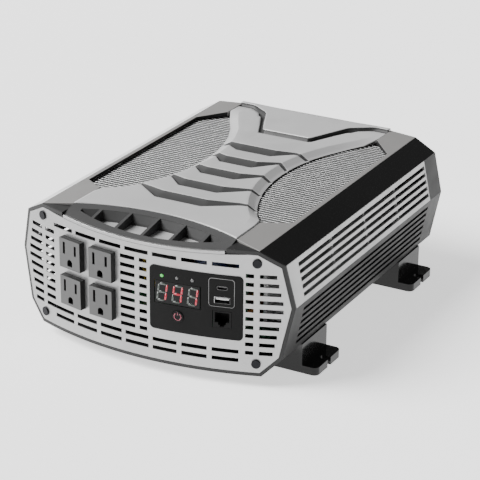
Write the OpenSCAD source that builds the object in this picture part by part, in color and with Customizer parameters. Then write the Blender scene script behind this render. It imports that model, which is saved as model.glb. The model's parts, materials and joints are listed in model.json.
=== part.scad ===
// Mains power inverter: bowed vented front, louvred case, sculpted top cover and bracket feet.
// X runs across the front, Y from front to rear, Z up from the surface it stands on.

/* [Case] */
// Width of the case at its waist, the widest level
case_width = 258; // [250:1:312]
// Height of the upper edges of the case above the surface it stands on
case_height = 118.5; // [114:0.5:143]
// Length of the case along its waist
case_length = 288.5; // [260:0.5:348]
// How far the middle of the front bows forward of its side edges
front_bow = 30; // [24:0.5:34]
// Thickness of the case walls
wall = 2.4; // [1.8:0.1:3]
/* [Case outline] */
// How far the upper edge lies inside the waist on each side
top_inset = 27.5; // [26:0.5:32]
// How far the shoulder edge lies inside the waist on each side
shoulder_inset = 8; // [6:0.5:11]
// How far the shoulder edge lies below the upper edge
shoulder_drop = 11; // [9:0.5:13]
// Height of the waist
waist_height = 71; // [66:0.5:76]
// How far the lower side edge lies inside the waist on each side
lower_inset = 9; // [7:0.5:12]
// Height of the lower side edge
lower_height = 26; // [24:0.5:30]
// How far the edge of the floor lies inside the waist on each side
bottom_inset = 24.5; // [22:0.5:28]
// Height of the underside of the case
ground_gap = 10; // [9:0.5:12]

/* [Side louvres] */
// Width of a side slot
side_slot = 3.1; // [2.4:0.1:3.6]
// Distance between neighbouring side slots
side_pitch = 6.3; // [5.6:0.1:6.4]
// Slots in each upper side face
upper_slots = 5; // [3:1:5]
// Slots in each lower side face
lower_slots = 6; // [3:1:6]
// Distance from the front edge to the slots
slot_start = 15; // [10:1:30]
// Length of the dark collar at the rear
collar_length = 25; // [18:1:34]

/* [Top] */
// Width between the seams of the top cover
cover_width = 153; // [140:1:160]
// Width of the top cover at its narrow middle
cover_waist = 76; // [64:1:84]
// Width of each top rail beside its grille
rail_width = 4.5; // [3:0.5:7]
// How much higher the rails are at the seams than at their outer edge
rail_rise = 2; // [1:0.5:3]
// Height of the cover above the upper edge of the case
cover_rise = 2.6; // [2:0.2:4]
// Width and depth of each groove across the cover
groove = 3; // [2:0.5:4]
// Distance between neighbouring grooves
groove_pitch = 32.3; // [28:0.1:34]
// Height of the rear crest above the cover
crest_rise = 1.4; // [1:0.2:2.4]
// Number of slots in each grille
grille_slots = 10; // [6:1:10]

/* [Front plate] */
// Width of the dark rim around the plate
rim = 3.1; // [2.8:0.1:4]
// How far the plate stands forward of the case walls
plate_lead = 1.5; // [1:0.1:2.5]
// Thickness of the front plate
plate_thick = 1; // [0.8:0.1:1.6]
// Height of a vent slot in the plate
vent_slot = 3.4; // [2.4:0.1:3.8]
// Vertical distance between vent slots
vent_pitch = 7.45; // [6.8:0.05:7.6]
// Distance between the slots in the long rows
row_pitch = 25.4; // [24:0.1:26]
// Length of a slot in the long rows
row_slot = 21.5; // [15:0.5:22]
// How far the upper edge of the plate dips at its middle
top_dip = 5.4; // [3:0.2:6]
// Height of the silver lip above the plate
lip_height = 2.8; // [2:0.1:3.4]

/* [Outlets] */
// Width of an outlet block
outlet_width = 23.5; // [22:0.5:25]
// Height of an outlet block
outlet_height = 26; // [25:0.5:28]
// How far an outlet block stands proud of the plate
outlet_proud = 5; // [3:0.5:8]
// Distance between the outlets across the plate
outlet_pitch_x = 32; // [30:0.1:34]
// Distance between the outlets up the plate
outlet_pitch_z = 33.4; // [32:0.1:34]
// Width of the ground hole
ground_width = 5.4; // [5:0.1:6]

/* [Control panel] */
// Width of the control panel
panel_width = 77.5; // [72:0.5:78]
// Height of the control panel
panel_height = 55.6; // [50:0.2:57]
// Thickness of the panel overlay
overlay_thick = 0.8; // [0.5:0.1:1.2]
// Radius of the power button
button_radius = 4.75; // [3.5:0.25:6]
// How far the power button travels when pressed
button_travel = 1; // [0.6:0.1:1.4]
// Gap around a moving or inserted piece
fit_gap = 0.2; // [0.1:0.05:0.3]

/* [Feet] */
// Length of a foot along the case
foot_length = 45; // [38:1:52]
// Thickness of the base of a foot
foot_thick = 7; // [5:0.5:8]
// How far a foot stands out past the waist
foot_reach = 6; // [4:0.5:10]
// Distance from each end of the waist to the nearest foot
foot_margin = 27; // [20:1:40]
// Width of the screw notch in a foot
notch_width = 5.6; // [4.6:0.1:7]
// Depth of the screw notch in a foot
notch_depth = 8.5; // [6:0.5:10]

/* [Rear panel] */
// Width and height of a cooling fan
fan_size = 60; // [50:1:60]
// Depth of a cooling fan
fan_depth = 25; // [20:1:28]
// Radius of a DC terminal stud's threaded free end
stud_radius = 4; // [3:0.5:4]
// Length of a stud's free end beyond its nut
stud_free = 11; // [8:1:16]

/* [Hidden] */
$fn = 48;

eps = 0.01;

// ---- Case outline, seen from the front, clockwise from the upper right edge ----
half_width = case_width / 2;
half_outline = [
    [half_width - top_inset, case_height],
    [half_width - shoulder_inset, case_height - shoulder_drop],
    [half_width, waist_height],
    [half_width - lower_inset, lower_height],
    [half_width - bottom_inset, ground_gap]];
outline = concat(half_outline, [for (i = [4:-1:0]) [-half_outline[i].x, half_outline[i].y]]);
TOP = 0;
SHOULDER = 1;
WAIST = 2;
LOWER = 3;

function unit(v) = v / norm(v);
function right_normal(a, b) = [unit(b - a).y, -unit(b - a).x];
// The clockwise outline moved inwards by d, with every wall kept at the same thickness
function inset(points, d) = let (n = len(points)) [for (i = [0:n - 1])
    let (before = right_normal(points[(i + n - 1) % n], points[i]),
         after = right_normal(points[i], points[(i + 1) % n]))
    points[i] + d * (before + after) / (1 + before * after)];
inner = inset(outline, wall);
// A wall between two corners of the outline, from depth d0 to depth d1
function band(first, last, d0, d1) = let (a = inset(outline, d0), b = inset(outline, d1))
    concat([for (i = [first:last]) a[i]], [for (i = [last:-1:first]) b[i]]);
// Half width of the outline at height z, on the upper or lower side face
function half_at(z) = let (k = z > waist_height ? SHOULDER : LOWER, p = outline[k], c = outline[WAIST])
    c.x + (p.x - c.x) * (z - c.y) / (p.y - c.y);

// ---- Bow of the front, an upright cylinder ----
bow_radius = (half_width * half_width + front_bow * front_bow) / (2 * front_bow);
bow_axis = bow_radius - front_bow;
plate_radius = bow_radius + plate_lead;
function bow_y(x, radius) = bow_axis - sqrt(radius * radius - x * x);

// ---- Top ----
seam_x = cover_width / 2;
inner_top = case_height - wall;
top_middle = case_length / 2 - 0.75;  // middle of the straight edges of the grilles
waist_middle = case_length / 2 + 3.25; // middle of the curved edges of the cover
recess_x = half_outline[TOP].x - rail_width;
recess_half = 92;                 // half length of the straight outer edge of a grille recess
waist_span = 111;                 // half length of the curved edge of the cover
waist_sag = seam_x - cover_waist / 2;
waist_radius = (waist_span * waist_span + waist_sag * waist_sag) / (2 * waist_sag);
grille_thick = 1.6;
grille_drop = 1.2;
grille_ledge = 1.5;
cover_top = case_height + cover_rise;
groove_first = 47.5;
shoulder_front = -3.6;            // front edge of a rail at its seam
scoop_rise = 16.4;                // how far the rear edge of the scoop bows back
scoop_radius = (seam_x * seam_x + scoop_rise * scoop_rise) / (2 * scoop_rise);
scoop_axis = shoulder_front + scoop_rise - scoop_radius;
scoop_band = 9.8;
pocket_front = -22.5;
pocket_half = 71;
pocket_sag = 14.2;
pocket_radius = (pocket_half * pocket_half + pocket_sag * pocket_sag) / (2 * pocket_sag);
vane_count = 5;
vane_thick = 2.4;
scoop_thick = 5;

// ---- Front plate ----
plate_inset = max(rim, wall + 0.7); // keeps the bezel's rim joined to its flange
plate_top = case_height - plate_inset + 0.7;
dip_half = half_outline[TOP].x - 1;
dip_radius = (dip_half * dip_half + top_dip * top_dip) / (2 * top_dip);
dip_low = plate_top - top_dip;
lip_depth = 3;                    // depth of the lip and the wall that carries it
row_z = case_height - 13.7;
vent_rows = 12;
outer_start = half_width - 26.6;  // where the outermost column of slots begins
outer_margin = 8;                 // from its slots to the side of the case
inner_end = 4.2;                  // from it to the column beside it
left_inner_slot = 11.2;
right_inner_slot = 6.4;
outlet_column = [16.6, 14];       // start beyond the right outlets, and length of its slots
panel_column = [10.2, 7.2];       // start before the panel, and length of its slots
screw_x = half_outline[TOP].x - 1;
screw_top = case_height - 10;
screw_bottom = ground_gap + 11;
screw_radius = 1.75;
screw_head = 3.9;
screw_head_height = 1.4;
screw_play = 0.05;
flange_thick = 4;

// ---- Outlets and control panel ----
outlet_x = -half_width + 65;
outlet_z = case_height - 28;
blade_offset = 4.7;               // blade slots above the middle of the block
blade_spacing = 12.7;
ground_drop = 11.9;
ground_low = 3.2;                 // flat of the ground hole below its middle
outlet_deep = 22;
outlet_sockets = [[0, 0], [1, 0], [0, 1], [1, 1]];
panel_x = half_width - 77.4;
panel_z = 68.3;
panel_corner = 3.5;
display_size = [39.6, 19.6];
display_at = [panel_x - 14.6, panel_z + 5.5];
digit_size = [9.2, 16.4];
digit_pitch = 13.2;
light_z = panel_z + 19.7;
light_radius = 1.5;
light_pitch = 13;
button_at = [display_at.x + 0.7, panel_z - 13.4];
port_x = panel_x + 22.4;
usb_c_z = panel_z + 16.6;
usb_a_z = panel_z + 6;
jack_z = panel_z - 10.6;
usb_c_size = [9, 3.3];
usb_a_size = [13.2, 5.8];
jack_size = [15, 14];
jack_hole = [11.8, 8.6];
port_shell = 0.4;
port_proud = 0.9;
button_proud = 1.7;
button_stem = 6;
board_setback = 14;
// Depth at which a port of this width, beside the middle of the panel, meets the flat board behind it
function port_depth(width) = let (d = port_x - panel_x)
    board_setback - 0.1 - d * (d + width) / 2 / plate_radius;

// ---- Feet ----
foot_out = half_width + foot_reach;
foot_web = 3;
web_out = half_outline[LOWER].x + 1.3;
foot_in = half_outline[4].x - 9;
foot_corner = 5;
foot_screw_x = half_outline[4].x - 4.5;
foot_screw_pitch = 28;
foot_screw_radius = 2;

// ---- Rear ----
rear_plate_thick = 2;
rear_face = case_length - 1.4;
rear_back = rear_face - rear_plate_thick;
fan_x = half_width - 51;
fan_z = waist_height - 5;
fan_bore = fan_size / 2 - 1.6;
fan_hole_pitch = fan_size - 10;
guard_rings = 4;
guard_inner = 7;
shaft_radius = 1.5;
shaft_play = 0.05;
fan_blades = 7;
terminal_x = 15;
terminal_pitch = 32;
base_size = [24, 60];
base_deep = 9;
stud_body = stud_radius + 0.5;
nut_flats = 14;
nut_thick = 6.5;
stud_end = rear_face + base_deep + nut_thick + stud_free;
ground_z = fan_z - 42;
ground_radius = 2.5;
ground_free = 9;

// ---- Inside ----
board_z = ground_gap + wall + 11.6;
board_thick = 1.6;
board_top = board_z + board_thick;
board_half = 92;
board_front = 26;
board_rear = case_length - 48;
standoff_radius = 3;
sink_x = 78;
sink_height = 62;
core_size = [44, 18, 36];
fuse_x = 40;
choke_x = 54;

// The origin is at the middle of the whole object's length, on the surface it stands on
outlet_corner = norm([plate_radius + outlet_proud, outlet_width / 2]);
outlet_turn = atan(outlet_width / 2 / (plate_radius + outlet_proud));
front_reach = bow_axis - outlet_corner * cos(asin((outlet_x + outlet_pitch_x) / plate_radius) + outlet_turn);
middle_y = (front_reach + stud_end) / 2;

// ---- Helpers ----
module in_frame() {
    translate([0, -middle_y, 0]) children();
}

module along_y(y0, y1) {
    translate([0, y1, 0]) rotate([90, 0, 0]) linear_extrude(y1 - y0) children();
}

module slab(z0, z1) {
    translate([0, 0, z0]) linear_extrude(z1 - z0) children();
}

// Everything behind a bowed surface of this radius
module behind_bow(radius) {
    translate([0, bow_axis, -1]) cylinder(r = radius, h = case_height + 40, $fn = 200);
}

module bow_shell(outer_radius, inner_radius) {
    difference() {
        intersection() {
            behind_bow(outer_radius);
            translate([-half_width - 1, -front_bow - 20, 0]) cube([case_width + 2, front_bow + 40, case_height + 30]);
        }
        behind_bow(inner_radius);
    }
}

// Local frame on the plate: x along it, -y out of it
module on_plate(x, z) {
    translate([0, bow_axis, 0]) rotate([0, 0, asin(x / plate_radius)]) translate([0, -plate_radius, z]) children();
}

module box(low, high) {
    translate(low) cube(high - low);
}

module peg(radius, y0, y1) {
    translate([0, y1, 0]) rotate([90, 0, 0]) cylinder(r = radius, h = y1 - y0);
}

module both_sides() {
    children();
    mirror([1, 0, 0]) children();
}

module rounded_rect(size, corner) {
    square([size.x - 2 * corner, size.y], center = true);
    square([size.x, size.y - 2 * corner], center = true);
    for (x = [-1, 1], y = [-1, 1])
        translate([x * (size.x / 2 - corner), y * (size.y / 2 - corner)]) circle(r = corner);
}

// One of the long slots in the face between two corners of the outline
module side_cut(first, last, distance) {
    a = outline[first];
    way = unit(outline[last] - a);
    at = a + way * distance;
    translate([at.x, slot_start, at.y]) rotate([0, 90 - atan2(way.x, -way.y) - 90, 0])
        translate([-2 * wall - 3, 0, -side_slot / 2])
            cube([4 * wall + 6, case_length - collar_length - slot_start - 1.5, side_slot]);
}

function face_length(k) = norm(outline[k + 1] - outline[k]);
function first_slot(k, count) = (face_length(k) - (count - 1) * side_pitch) / 2;

// Ribs behind a slotted face that tie its bars together
module backing_ribs(k) {
    bay = (case_length - collar_length - slot_start) / 4;
    for (i = [1:3])
        along_y(slot_start + i * bay - 1.5, slot_start + i * bay + 1.5) polygon(band(k, k + 1, wall, wall + 2));
}

// ---- Case ----
module lower_case() {
    color([0.24, 0.24, 0.25]) {
        difference() {
            intersection() {
                along_y(-front_bow - 5, case_length) polygon(band(WAIST, 9 - WAIST, 0, wall));
                behind_bow(bow_radius);
            }
            both_sides() for (i = [0:lower_slots - 1])
                side_cut(WAIST, LOWER, first_slot(WAIST, lower_slots) + i * side_pitch);
            each_foot_screw() translate([0, 0, ground_gap - 1])
                cylinder(r = foot_screw_radius + screw_play, h = wall + 2);
        }
        both_sides() backing_ribs(WAIST);
    }
}

module louvre() {
    color([0.72, 0.72, 0.73]) {
        difference() {
            intersection() {
                along_y(-front_bow - 5, case_length - collar_length) polygon(band(SHOULDER, WAIST, 0, wall));
                behind_bow(bow_radius);
            }
            for (i = [0:upper_slots - 1])
                side_cut(SHOULDER, WAIST, first_slot(SHOULDER, upper_slots) + i * side_pitch);
        }
        backing_ribs(SHOULDER);
    }
}

module left_louvre() mirror([1, 0, 0]) louvre();
module right_louvre() louvre();

module trim() {
    color([0.08, 0.08, 0.085]) intersection() {
        along_y(-front_bow - 5, case_length) polygon(band(TOP, SHOULDER, 0, wall));
        behind_bow(bow_radius);
    }
}

module left_trim() mirror([1, 0, 0]) trim();
module right_trim() trim();

// Where a slanted end of a recess, carried on past the seam, meets the middle of the case
function recess_end(grow, way) = let (
    corner = [recess_x + grow, top_middle + way * (recess_half + grow)],
    seam = [seam_x, waist_middle + way * (waist_span + grow)])
    corner + (seam - corner) * corner.x / (corner.x - seam.x);

// Plan of the recess that holds a grille, grown outwards on every side
module recess_plan(grow) {
    intersection() {
        translate([cover_waist / 2 + waist_radius, waist_middle]) circle(r = waist_radius + grow, $fn = 200);
        polygon([
            recess_end(grow, -1),
            [recess_x + grow, top_middle - recess_half - grow],
            [recess_x + grow, top_middle + recess_half + grow],
            recess_end(grow, 1)]);
    }
}

module top_rail() {
    edge = half_outline[TOP];
    color([0.6, 0.59, 0.57]) difference() {
        intersection() {
            along_y(-front_bow - 5, case_length) polygon([
                edge,
                [seam_x, case_height + rail_rise],
                [seam_x, inner_top],
                inner[TOP]]);
            slab(inner_top - 5, cover_top + 5) polygon([
                [seam_x, shoulder_front],
                [edge.x + 1, bow_y(edge.x, bow_radius) - 0.3],
                [edge.x + 1, case_length],
                [seam_x, case_length]]);
        }
        slab(inner_top - 5, cover_top + 5) recess_plan(0);
    }
}

module left_top_rail() mirror([1, 0, 0]) top_rail();
module right_top_rail() top_rail();

// One groove across the cover: straight in the middle, swept back, then forward to the edge
module groove_plan(y, middle, knee, edge) {
    back = [
        [edge + 8, 11],
        [knee, 16],
        [middle, 0],
        [-middle, 0],
        [-knee, 16],
        [-edge - 8, 11]];
    polygon(concat([for (p = back) p + [0, y]], [for (i = [5:-1:0]) back[i] + [0, y - groove]]));
}

module top_cover() {
    color([0.8, 0.8, 0.8]) difference() {
        slab(inner_top, cover_top) difference() {
            translate([-seam_x + 0.1, shoulder_front]) square([cover_width - 0.2, case_length - shoulder_front]);
            for (side = [-1, 1])
                translate([side * (cover_waist / 2 + waist_radius), waist_middle]) circle(r = waist_radius, $fn = 200);
            translate([0, scoop_axis]) circle(r = scoop_radius, $fn = 200);
        }
        for (i = [0:4]) let (spread = abs(i - 3) * 4 + 14)
            slab(cover_top - groove, cover_top + 1)
                groove_plan(groove_first + i * groove_pitch, spread, spread + 15, 60);
    }
}

module cover_crest() {
    color([0.78, 0.78, 0.78]) slab(cover_top, cover_top + crest_rise) polygon([
        [24, case_length - 58],
        [48, case_length - 11],
        [62, case_length - 1],
        [-62, case_length - 1],
        [-48, case_length - 11],
        [-24, case_length - 58]]);
}

module grille() {
    first = cover_waist / 2 + 7;
    step = (recess_x - 4 - first) / (grille_slots - 1);
    low = inner_top - grille_thick - grille_drop;
    color([0.66, 0.66, 0.67]) {
        slab(low, inner_top) difference() {
            recess_plan(grille_ledge);
            recess_plan(0);
        }
        slab(low, low + grille_thick) difference() {
            recess_plan(grille_ledge);
            for (i = [0:grille_slots - 1]) let (
                x = first + i * step,
                reach = sqrt(pow(waist_radius, 2) - pow(cover_waist / 2 + waist_radius - x, 2)),
                half = min(reach, recess_half + max(0, seam_x - x) * 0.5) - 8)
                translate([x, (top_middle + waist_middle) / 2]) square([step / 2, 2 * half], center = true);
        }
    }
}

module left_grille() mirror([1, 0, 0]) grille();
module right_grille() grille();

module rear_collar() {
    color([0.2, 0.2, 0.21]) {
        both_sides() along_y(case_length - collar_length, case_length) polygon(band(SHOULDER, WAIST, 0, wall));
        along_y(rear_back - 2.5, rear_back) difference() {
            polygon(inner);
            polygon(inset(outline, 10));
            each_rear_screw_2d() circle(r = screw_radius + screw_play);
        }
    }
}

module each_rear_screw_2d() {
    both_sides() for (at = [[half_outline[TOP].x - 8, case_height - 6.4], [half_width - 15, ground_gap + 18.6], [40, ground_gap + 6]])
        translate(at) children();
}

module rear_plate() {
    color([0.3, 0.3, 0.31]) along_y(rear_back, rear_face) difference() {
        polygon(inset(outline, wall + fit_gap));
        both_sides() translate([fan_x, fan_z]) {
            circle(r = fan_bore);
            for (x = [-1, 1], z = [-1, 1])
                translate([x, z] * fan_hole_pitch / 2) circle(r = 2.1);
        }
        for (x = [-1, 1], z = [-1, 1])
            translate([x * terminal_x, fan_z + z * terminal_pitch / 2]) circle(r = stud_body + 2);
        translate([0, ground_z]) circle(r = ground_radius + screw_play);
        each_rear_screw_2d() circle(r = screw_radius + screw_play);
    }
}

module rear_screws() {
    color([0.15, 0.15, 0.15]) along_y(rear_back - 8, rear_face) each_rear_screw_2d() circle(r = screw_radius);
    color([0.15, 0.15, 0.15]) along_y(rear_face, rear_face + 1.4) each_rear_screw_2d() circle(r = 3);
}

// ---- Front ----
module dip_plan(raise) {
    translate([0, dip_low + raise + dip_radius]) circle(r = dip_radius, $fn = 200);
}

module front_bezel() {
    edge = half_outline[TOP];
    color([0.14, 0.14, 0.15]) {
        // Rim in front of the case walls
        intersection() {
            along_y(-front_bow - 10, 20) difference() {
                polygon(outline);
                polygon(inset(outline, plate_inset - fit_gap));
                translate([-seam_x, waist_height]) square([cover_width, 100]);
            }
            bow_shell(plate_radius, bow_radius);
        }
        // Flange behind the plate, inside the case walls
        intersection() {
            along_y(-front_bow - 10, 20) difference() {
                polygon(inset(outline, wall + fit_gap));
                difference() {
                    polygon(inset(outline, 7));
                    both_sides() for (z = [screw_top, screw_bottom]) translate([screw_x, z]) circle(r = 5);
                }
                translate([-seam_x, waist_height]) square([cover_width, 100]);
            }
            difference() {
                bow_shell(plate_radius - plate_thick, plate_radius - plate_thick - flange_thick);
                each_plate_screw() peg(screw_radius + screw_play, -2, 12);
            }
        }
        // Gloss corner fillets between the rim and the top rails
        both_sides() intersection() {
            slab(inner_top, case_height) polygon([
                [seam_x, shoulder_front - fit_gap],
                [edge.x, bow_y(edge.x, bow_radius) - fit_gap],
                [edge.x, -front_bow],
                [seam_x, -front_bow]]);
            behind_bow(bow_radius + eps);
        }
    }
}

// Every vent slot of the front plate, seen from the front
module vent_slots() {
    middle = row_slot + 0.5;
    for (row = [0, vent_rows - 2, vent_rows - 1], i = [-3:3])
        translate([i * row_pitch, row_z - row * vent_pitch])
            square([i == 0 ? middle : row_slot, vent_slot], center = true);
    for (row = [1:vent_rows - 2]) {
        z = row_z - row * vent_pitch;
        length = half_at(z) - outer_margin - outer_start;
        translate([outer_start, z - vent_slot / 2]) square([length, vent_slot]);
        translate([-outer_start - length, z - vent_slot / 2]) square([length, vent_slot]);
        translate([-outer_start + inner_end, z - vent_slot / 2]) square([left_inner_slot, vent_slot]);
        translate([outer_start - inner_end - right_inner_slot, z - vent_slot / 2])
            square([right_inner_slot, vent_slot]);
    }
    for (row = [1:vent_rows - 3]) {
        z = row_z - row * vent_pitch - vent_slot / 2;
        translate([outlet_x + outlet_pitch_x + outlet_column[0], z]) square([outlet_column[1], vent_slot]);
        translate([panel_x - panel_width / 2 - panel_column[0], z]) square([panel_column[1], vent_slot]);
    }
}

module panel_cutouts(gap) {
    translate([display_at.x, display_at.y]) square(display_size + [2, 2] * gap, center = true);
    translate([button_at.x, button_at.y]) circle(r = button_radius + gap);
    for (i = [-1:1]) translate([display_at.x + i * light_pitch, light_z]) circle(r = light_radius + gap);
    translate([port_x, usb_c_z]) rounded_rect(usb_c_size + [2, 2] * gap, usb_c_size.y / 2);
    translate([port_x, usb_a_z]) square(usb_a_size + [2, 2] * gap, center = true);
    translate([port_x, jack_z]) square(jack_size + [2, 2] * gap, center = true);
}

module front_plate() {
    color([0.78, 0.78, 0.79]) difference() {
        intersection() {
            along_y(-front_bow - 10, 20) difference() {
                polygon(inset(outline, plate_inset));
                dip_plan(0);
                vent_slots();
            }
            bow_shell(plate_radius, plate_radius - plate_thick);
        }
        each_outlet() box(
            [-outlet_width / 2 - fit_gap, -5, -outlet_height / 2 - fit_gap],
            [outlet_width / 2 + fit_gap, 5, outlet_height / 2 + fit_gap]);
        along_y(-front_bow - 10, 20) panel_cutouts(1);
        each_plate_screw() peg(screw_radius + screw_play, -2, 12);
    }
}

module top_lip() {
    half = seam_x - 1;
    shelf_low = dip_low - 2.6;
    color([0.82, 0.82, 0.83]) {
        // Visible strip above the plate
        intersection() {
            along_y(-front_bow - 10, 20) intersection() {
                difference() {
                    dip_plan(fit_gap);
                    dip_plan(lip_height);
                }
                translate([-half, waist_height]) square([2 * half, 100]);
            }
            bow_shell(plate_radius, plate_radius - lip_depth);
        }
        // Wall behind the plate that carries the strip
        intersection() {
            along_y(-front_bow - 10, 20) difference() {
                translate([-half, shelf_low]) square([2 * half, 20]);
                dip_plan(lip_height);
            }
            bow_shell(plate_radius - plate_thick, plate_radius - lip_depth);
        }
        // Shelf below the scoop pockets
        intersection() {
            box([-half, -front_bow - 5, shelf_low], [half, -2, shelf_low + 1.4]);
            behind_bow(plate_radius - plate_thick);
        }
    }
}

module scoop_plan() {
    intersection() {
        translate([0, scoop_axis]) circle(r = scoop_radius - 0.1, $fn = 200);
        translate([-seam_x + 0.1, -front_bow - 5]) square([cover_width - 0.2, 100]);
    }
}

module vent_scoop() {
    rear_top = cover_top - 0.4;
    rear_y = shoulder_front + scoop_rise;
    front_top = dip_low + lip_height;
    slope = atan((rear_top - front_top) / (rear_y + front_bow));
    color([0.3, 0.3, 0.31]) intersection() {
        slab(front_top - scoop_thick + 1, rear_top) difference() {
            scoop_plan();
            difference() {
                intersection() {
                    translate([0, scoop_axis]) circle(r = scoop_radius - scoop_band, $fn = 200);
                    translate([0, pocket_front + pocket_radius]) circle(r = pocket_radius, $fn = 200);
                }
                for (i = [-(vane_count - 1) / 2:(vane_count - 1) / 2])
                    translate([i * row_pitch - vane_thick / 2, -60]) square([vane_thick, 120]);
            }
        }
        behind_bow(plate_radius - lip_depth - 0.1);
        translate([0, rear_y, rear_top]) rotate([slope, 0, 0])
            translate([-100, -100, -scoop_thick]) cube([200, 150, scoop_thick]);
    }
}

module each_plate_screw() {
    for (x = [-1, 1], z = [screw_top, screw_bottom]) on_plate(x * screw_x, z) children();
}

module plate_screws() {
    color([0.12, 0.12, 0.12]) each_plate_screw() {
        peg(screw_radius, 0, 9);
        peg(screw_head, -screw_head_height, 0);
    }
}

// ---- Outlets ----
module outlet_at(column, row) {
    on_plate(outlet_x + column * outlet_pitch_x, outlet_z - row * outlet_pitch_z - blade_offset) children();
}

module each_outlet() {
    for (s = outlet_sockets) outlet_at(s.x, s.y) children();
}

module blade_slots(depth) {
    for (blade = [[-1, 10.4], [1, 8.6]])
        box([blade.x * blade_spacing / 2 - 1.1, -outlet_proud - 1, blade_offset - blade.y / 2],
            [blade.x * blade_spacing / 2 + 1.1, depth, blade_offset + blade.y / 2]);
}

module ground_hole(depth) {
    r = ground_width / 2;
    translate([0, 0, blade_offset - ground_drop]) {
        peg(r, -outlet_proud - 1, depth);
        box([-r, -outlet_proud - 1, -ground_low], [r, depth, 0]);
    }
}

module outlet() {
    w = outlet_width / 2;
    h = outlet_height / 2;
    color([0.36, 0.36, 0.37]) difference() {
        union() {
            box([-w, -outlet_proud, -h], [w, outlet_deep, h]);
            box([-w - 2, plate_thick + 0.6, -h - 2], [w + 2, plate_thick + 2.6, h + 2]);
        }
        blade_slots(outlet_deep - 4);
        ground_hole(outlet_deep - 4);
    }
}

module outlet_upper_left() outlet_at(0, 0) outlet();
module outlet_upper_right() outlet_at(1, 0) outlet();
module outlet_lower_left() outlet_at(0, 1) outlet();
module outlet_lower_right() outlet_at(1, 1) outlet();

module outlet_contacts() {
    low = outlet_deep - 12;
    high = outlet_deep - 4;
    color([0.8, 0.65, 0.3]) each_outlet() {
        for (side = [-1, 1]) let (x = side * (blade_spacing / 2 + 1.1))
            box([min(x, x - side * 0.45), low, blade_offset - 3.5], [max(x, x - side * 0.45), high, blade_offset + 3.5]);
        box([-2, low, blade_offset - ground_drop - ground_low], [2, high, blade_offset - ground_drop - ground_low + 0.6]);
    }
}

// ---- Control panel ----
module control_overlay() {
    color([0.13, 0.13, 0.13]) intersection() {
        along_y(-front_bow - 10, 20) difference() {
            translate([panel_x, panel_z]) rounded_rect([panel_width, panel_height], panel_corner);
            panel_cutouts(fit_gap);
        }
        bow_shell(plate_radius + overlay_thick, plate_radius);
    }
}

module display_module() {
    w = display_size.x / 2 - 0.5;
    h = display_size.y / 2 - 0.2;
    color([0.1, 0.08, 0.08]) on_plate(display_at.x, display_at.y) box([-w, -0.3, -h], [w, 8, h]);
}

// Seven bars of one digit, centred, with the same lean as a real display
module digit() {
    w = digit_size.x / 2 - 1;
    h = digit_size.y / 2 - 1;
    lean = 0.13;
    for (z = [-h, 0, h]) translate([z * lean, z]) square([2 * w - 1.2, 1.3], center = true);
    for (x = [-w, w], z = [-1, 1]) let (a = z * 0.9, b = z * (h - 0.9))
        polygon([
            [x - 0.65 + a * lean, a],
            [x + 0.65 + a * lean, a],
            [x + 0.65 + b * lean, b],
            [x - 0.65 + b * lean, b]]);
}

module display_digits() {
    color([0.8, 0.1, 0.12]) on_plate(display_at.x, display_at.y)
        for (i = [-1:1]) along_y(-0.5, -0.3) translate([i * digit_pitch, 0]) digit();
}

module indicator_lights() {
    color([0.4, 0.75, 0.35]) for (i = [-1:1]) on_plate(display_at.x + i * light_pitch, light_z) {
        peg(light_radius, -0.9, 7);
        peg(light_radius + 0.8, 2.4, 3.4);
    }
}

module power_button() {
    color([0.12, 0.12, 0.12]) on_plate(button_at.x, button_at.y) {
        peg(button_radius, -button_proud, 2.6);
        peg(button_radius + 1.3, 2.6, 3.6);
        peg(2, 3.6, button_stem);
    }
}

module button_switch() {
    gap = button_travel + 0.3;
    color([0.2, 0.2, 0.2]) on_plate(button_at.x, button_at.y) {
        peg(1.7, button_stem + gap, button_stem + gap + 1.2);
        box([-3, button_stem + gap + 1.2, -3], [3, board_setback - 0.9, 3]);
    }
}

module usb_c_port() {
    color([0.5, 0.5, 0.52]) on_plate(port_x, usb_c_z) {
        along_y(-port_proud, 8) difference() {
            rounded_rect(usb_c_size, usb_c_size.y / 2 - eps);
            rounded_rect(usb_c_size - [2, 2] * port_shell, usb_c_size.y / 2 - port_shell - eps);
        }
        box([-3.6, 7, -1.45], [3.6, 8, 1.45]);
        box([-3.2, 1, -0.35], [3.2, 7, 0.35]);
    }
}

module usb_a_port() {
    w = usb_a_size.x / 2;
    h = usb_a_size.y / 2;
    back = port_depth(usb_a_size.x);
    color([0.5, 0.5, 0.52]) on_plate(port_x, usb_a_z) {
        along_y(-port_proud, back) difference() {
            square(usb_a_size, center = true);
            square(usb_a_size - [2, 2] * port_shell, center = true);
        }
        box([-w + port_shell, back - 1, -h + port_shell], [w - port_shell, back, h - port_shell]);
        box([-5.5, 0, 0.1], [5.5, back - 1, 1.9]);
    }
}

module remote_jack() {
    color([0.09, 0.09, 0.1]) on_plate(port_x, jack_z) difference() {
        box([-jack_size.x / 2, -port_proud, -jack_size.y / 2],
            [jack_size.x / 2, port_depth(jack_size.x), jack_size.y / 2]);
        along_y(-port_proud - 1, 10.5) {
            translate([0, 1.6]) square(jack_hole, center = true);
            translate([0, -3.4]) square([6.4, 3], center = true);
            translate([0, -5.2]) square([3.6, 2.4], center = true);
        }
    }
}

module front_board() {
    color([0.1, 0.32, 0.16]) on_plate(panel_x, panel_z)
        box([-39, board_setback, -27], [39, board_setback + board_thick, 27]);
}

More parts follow.
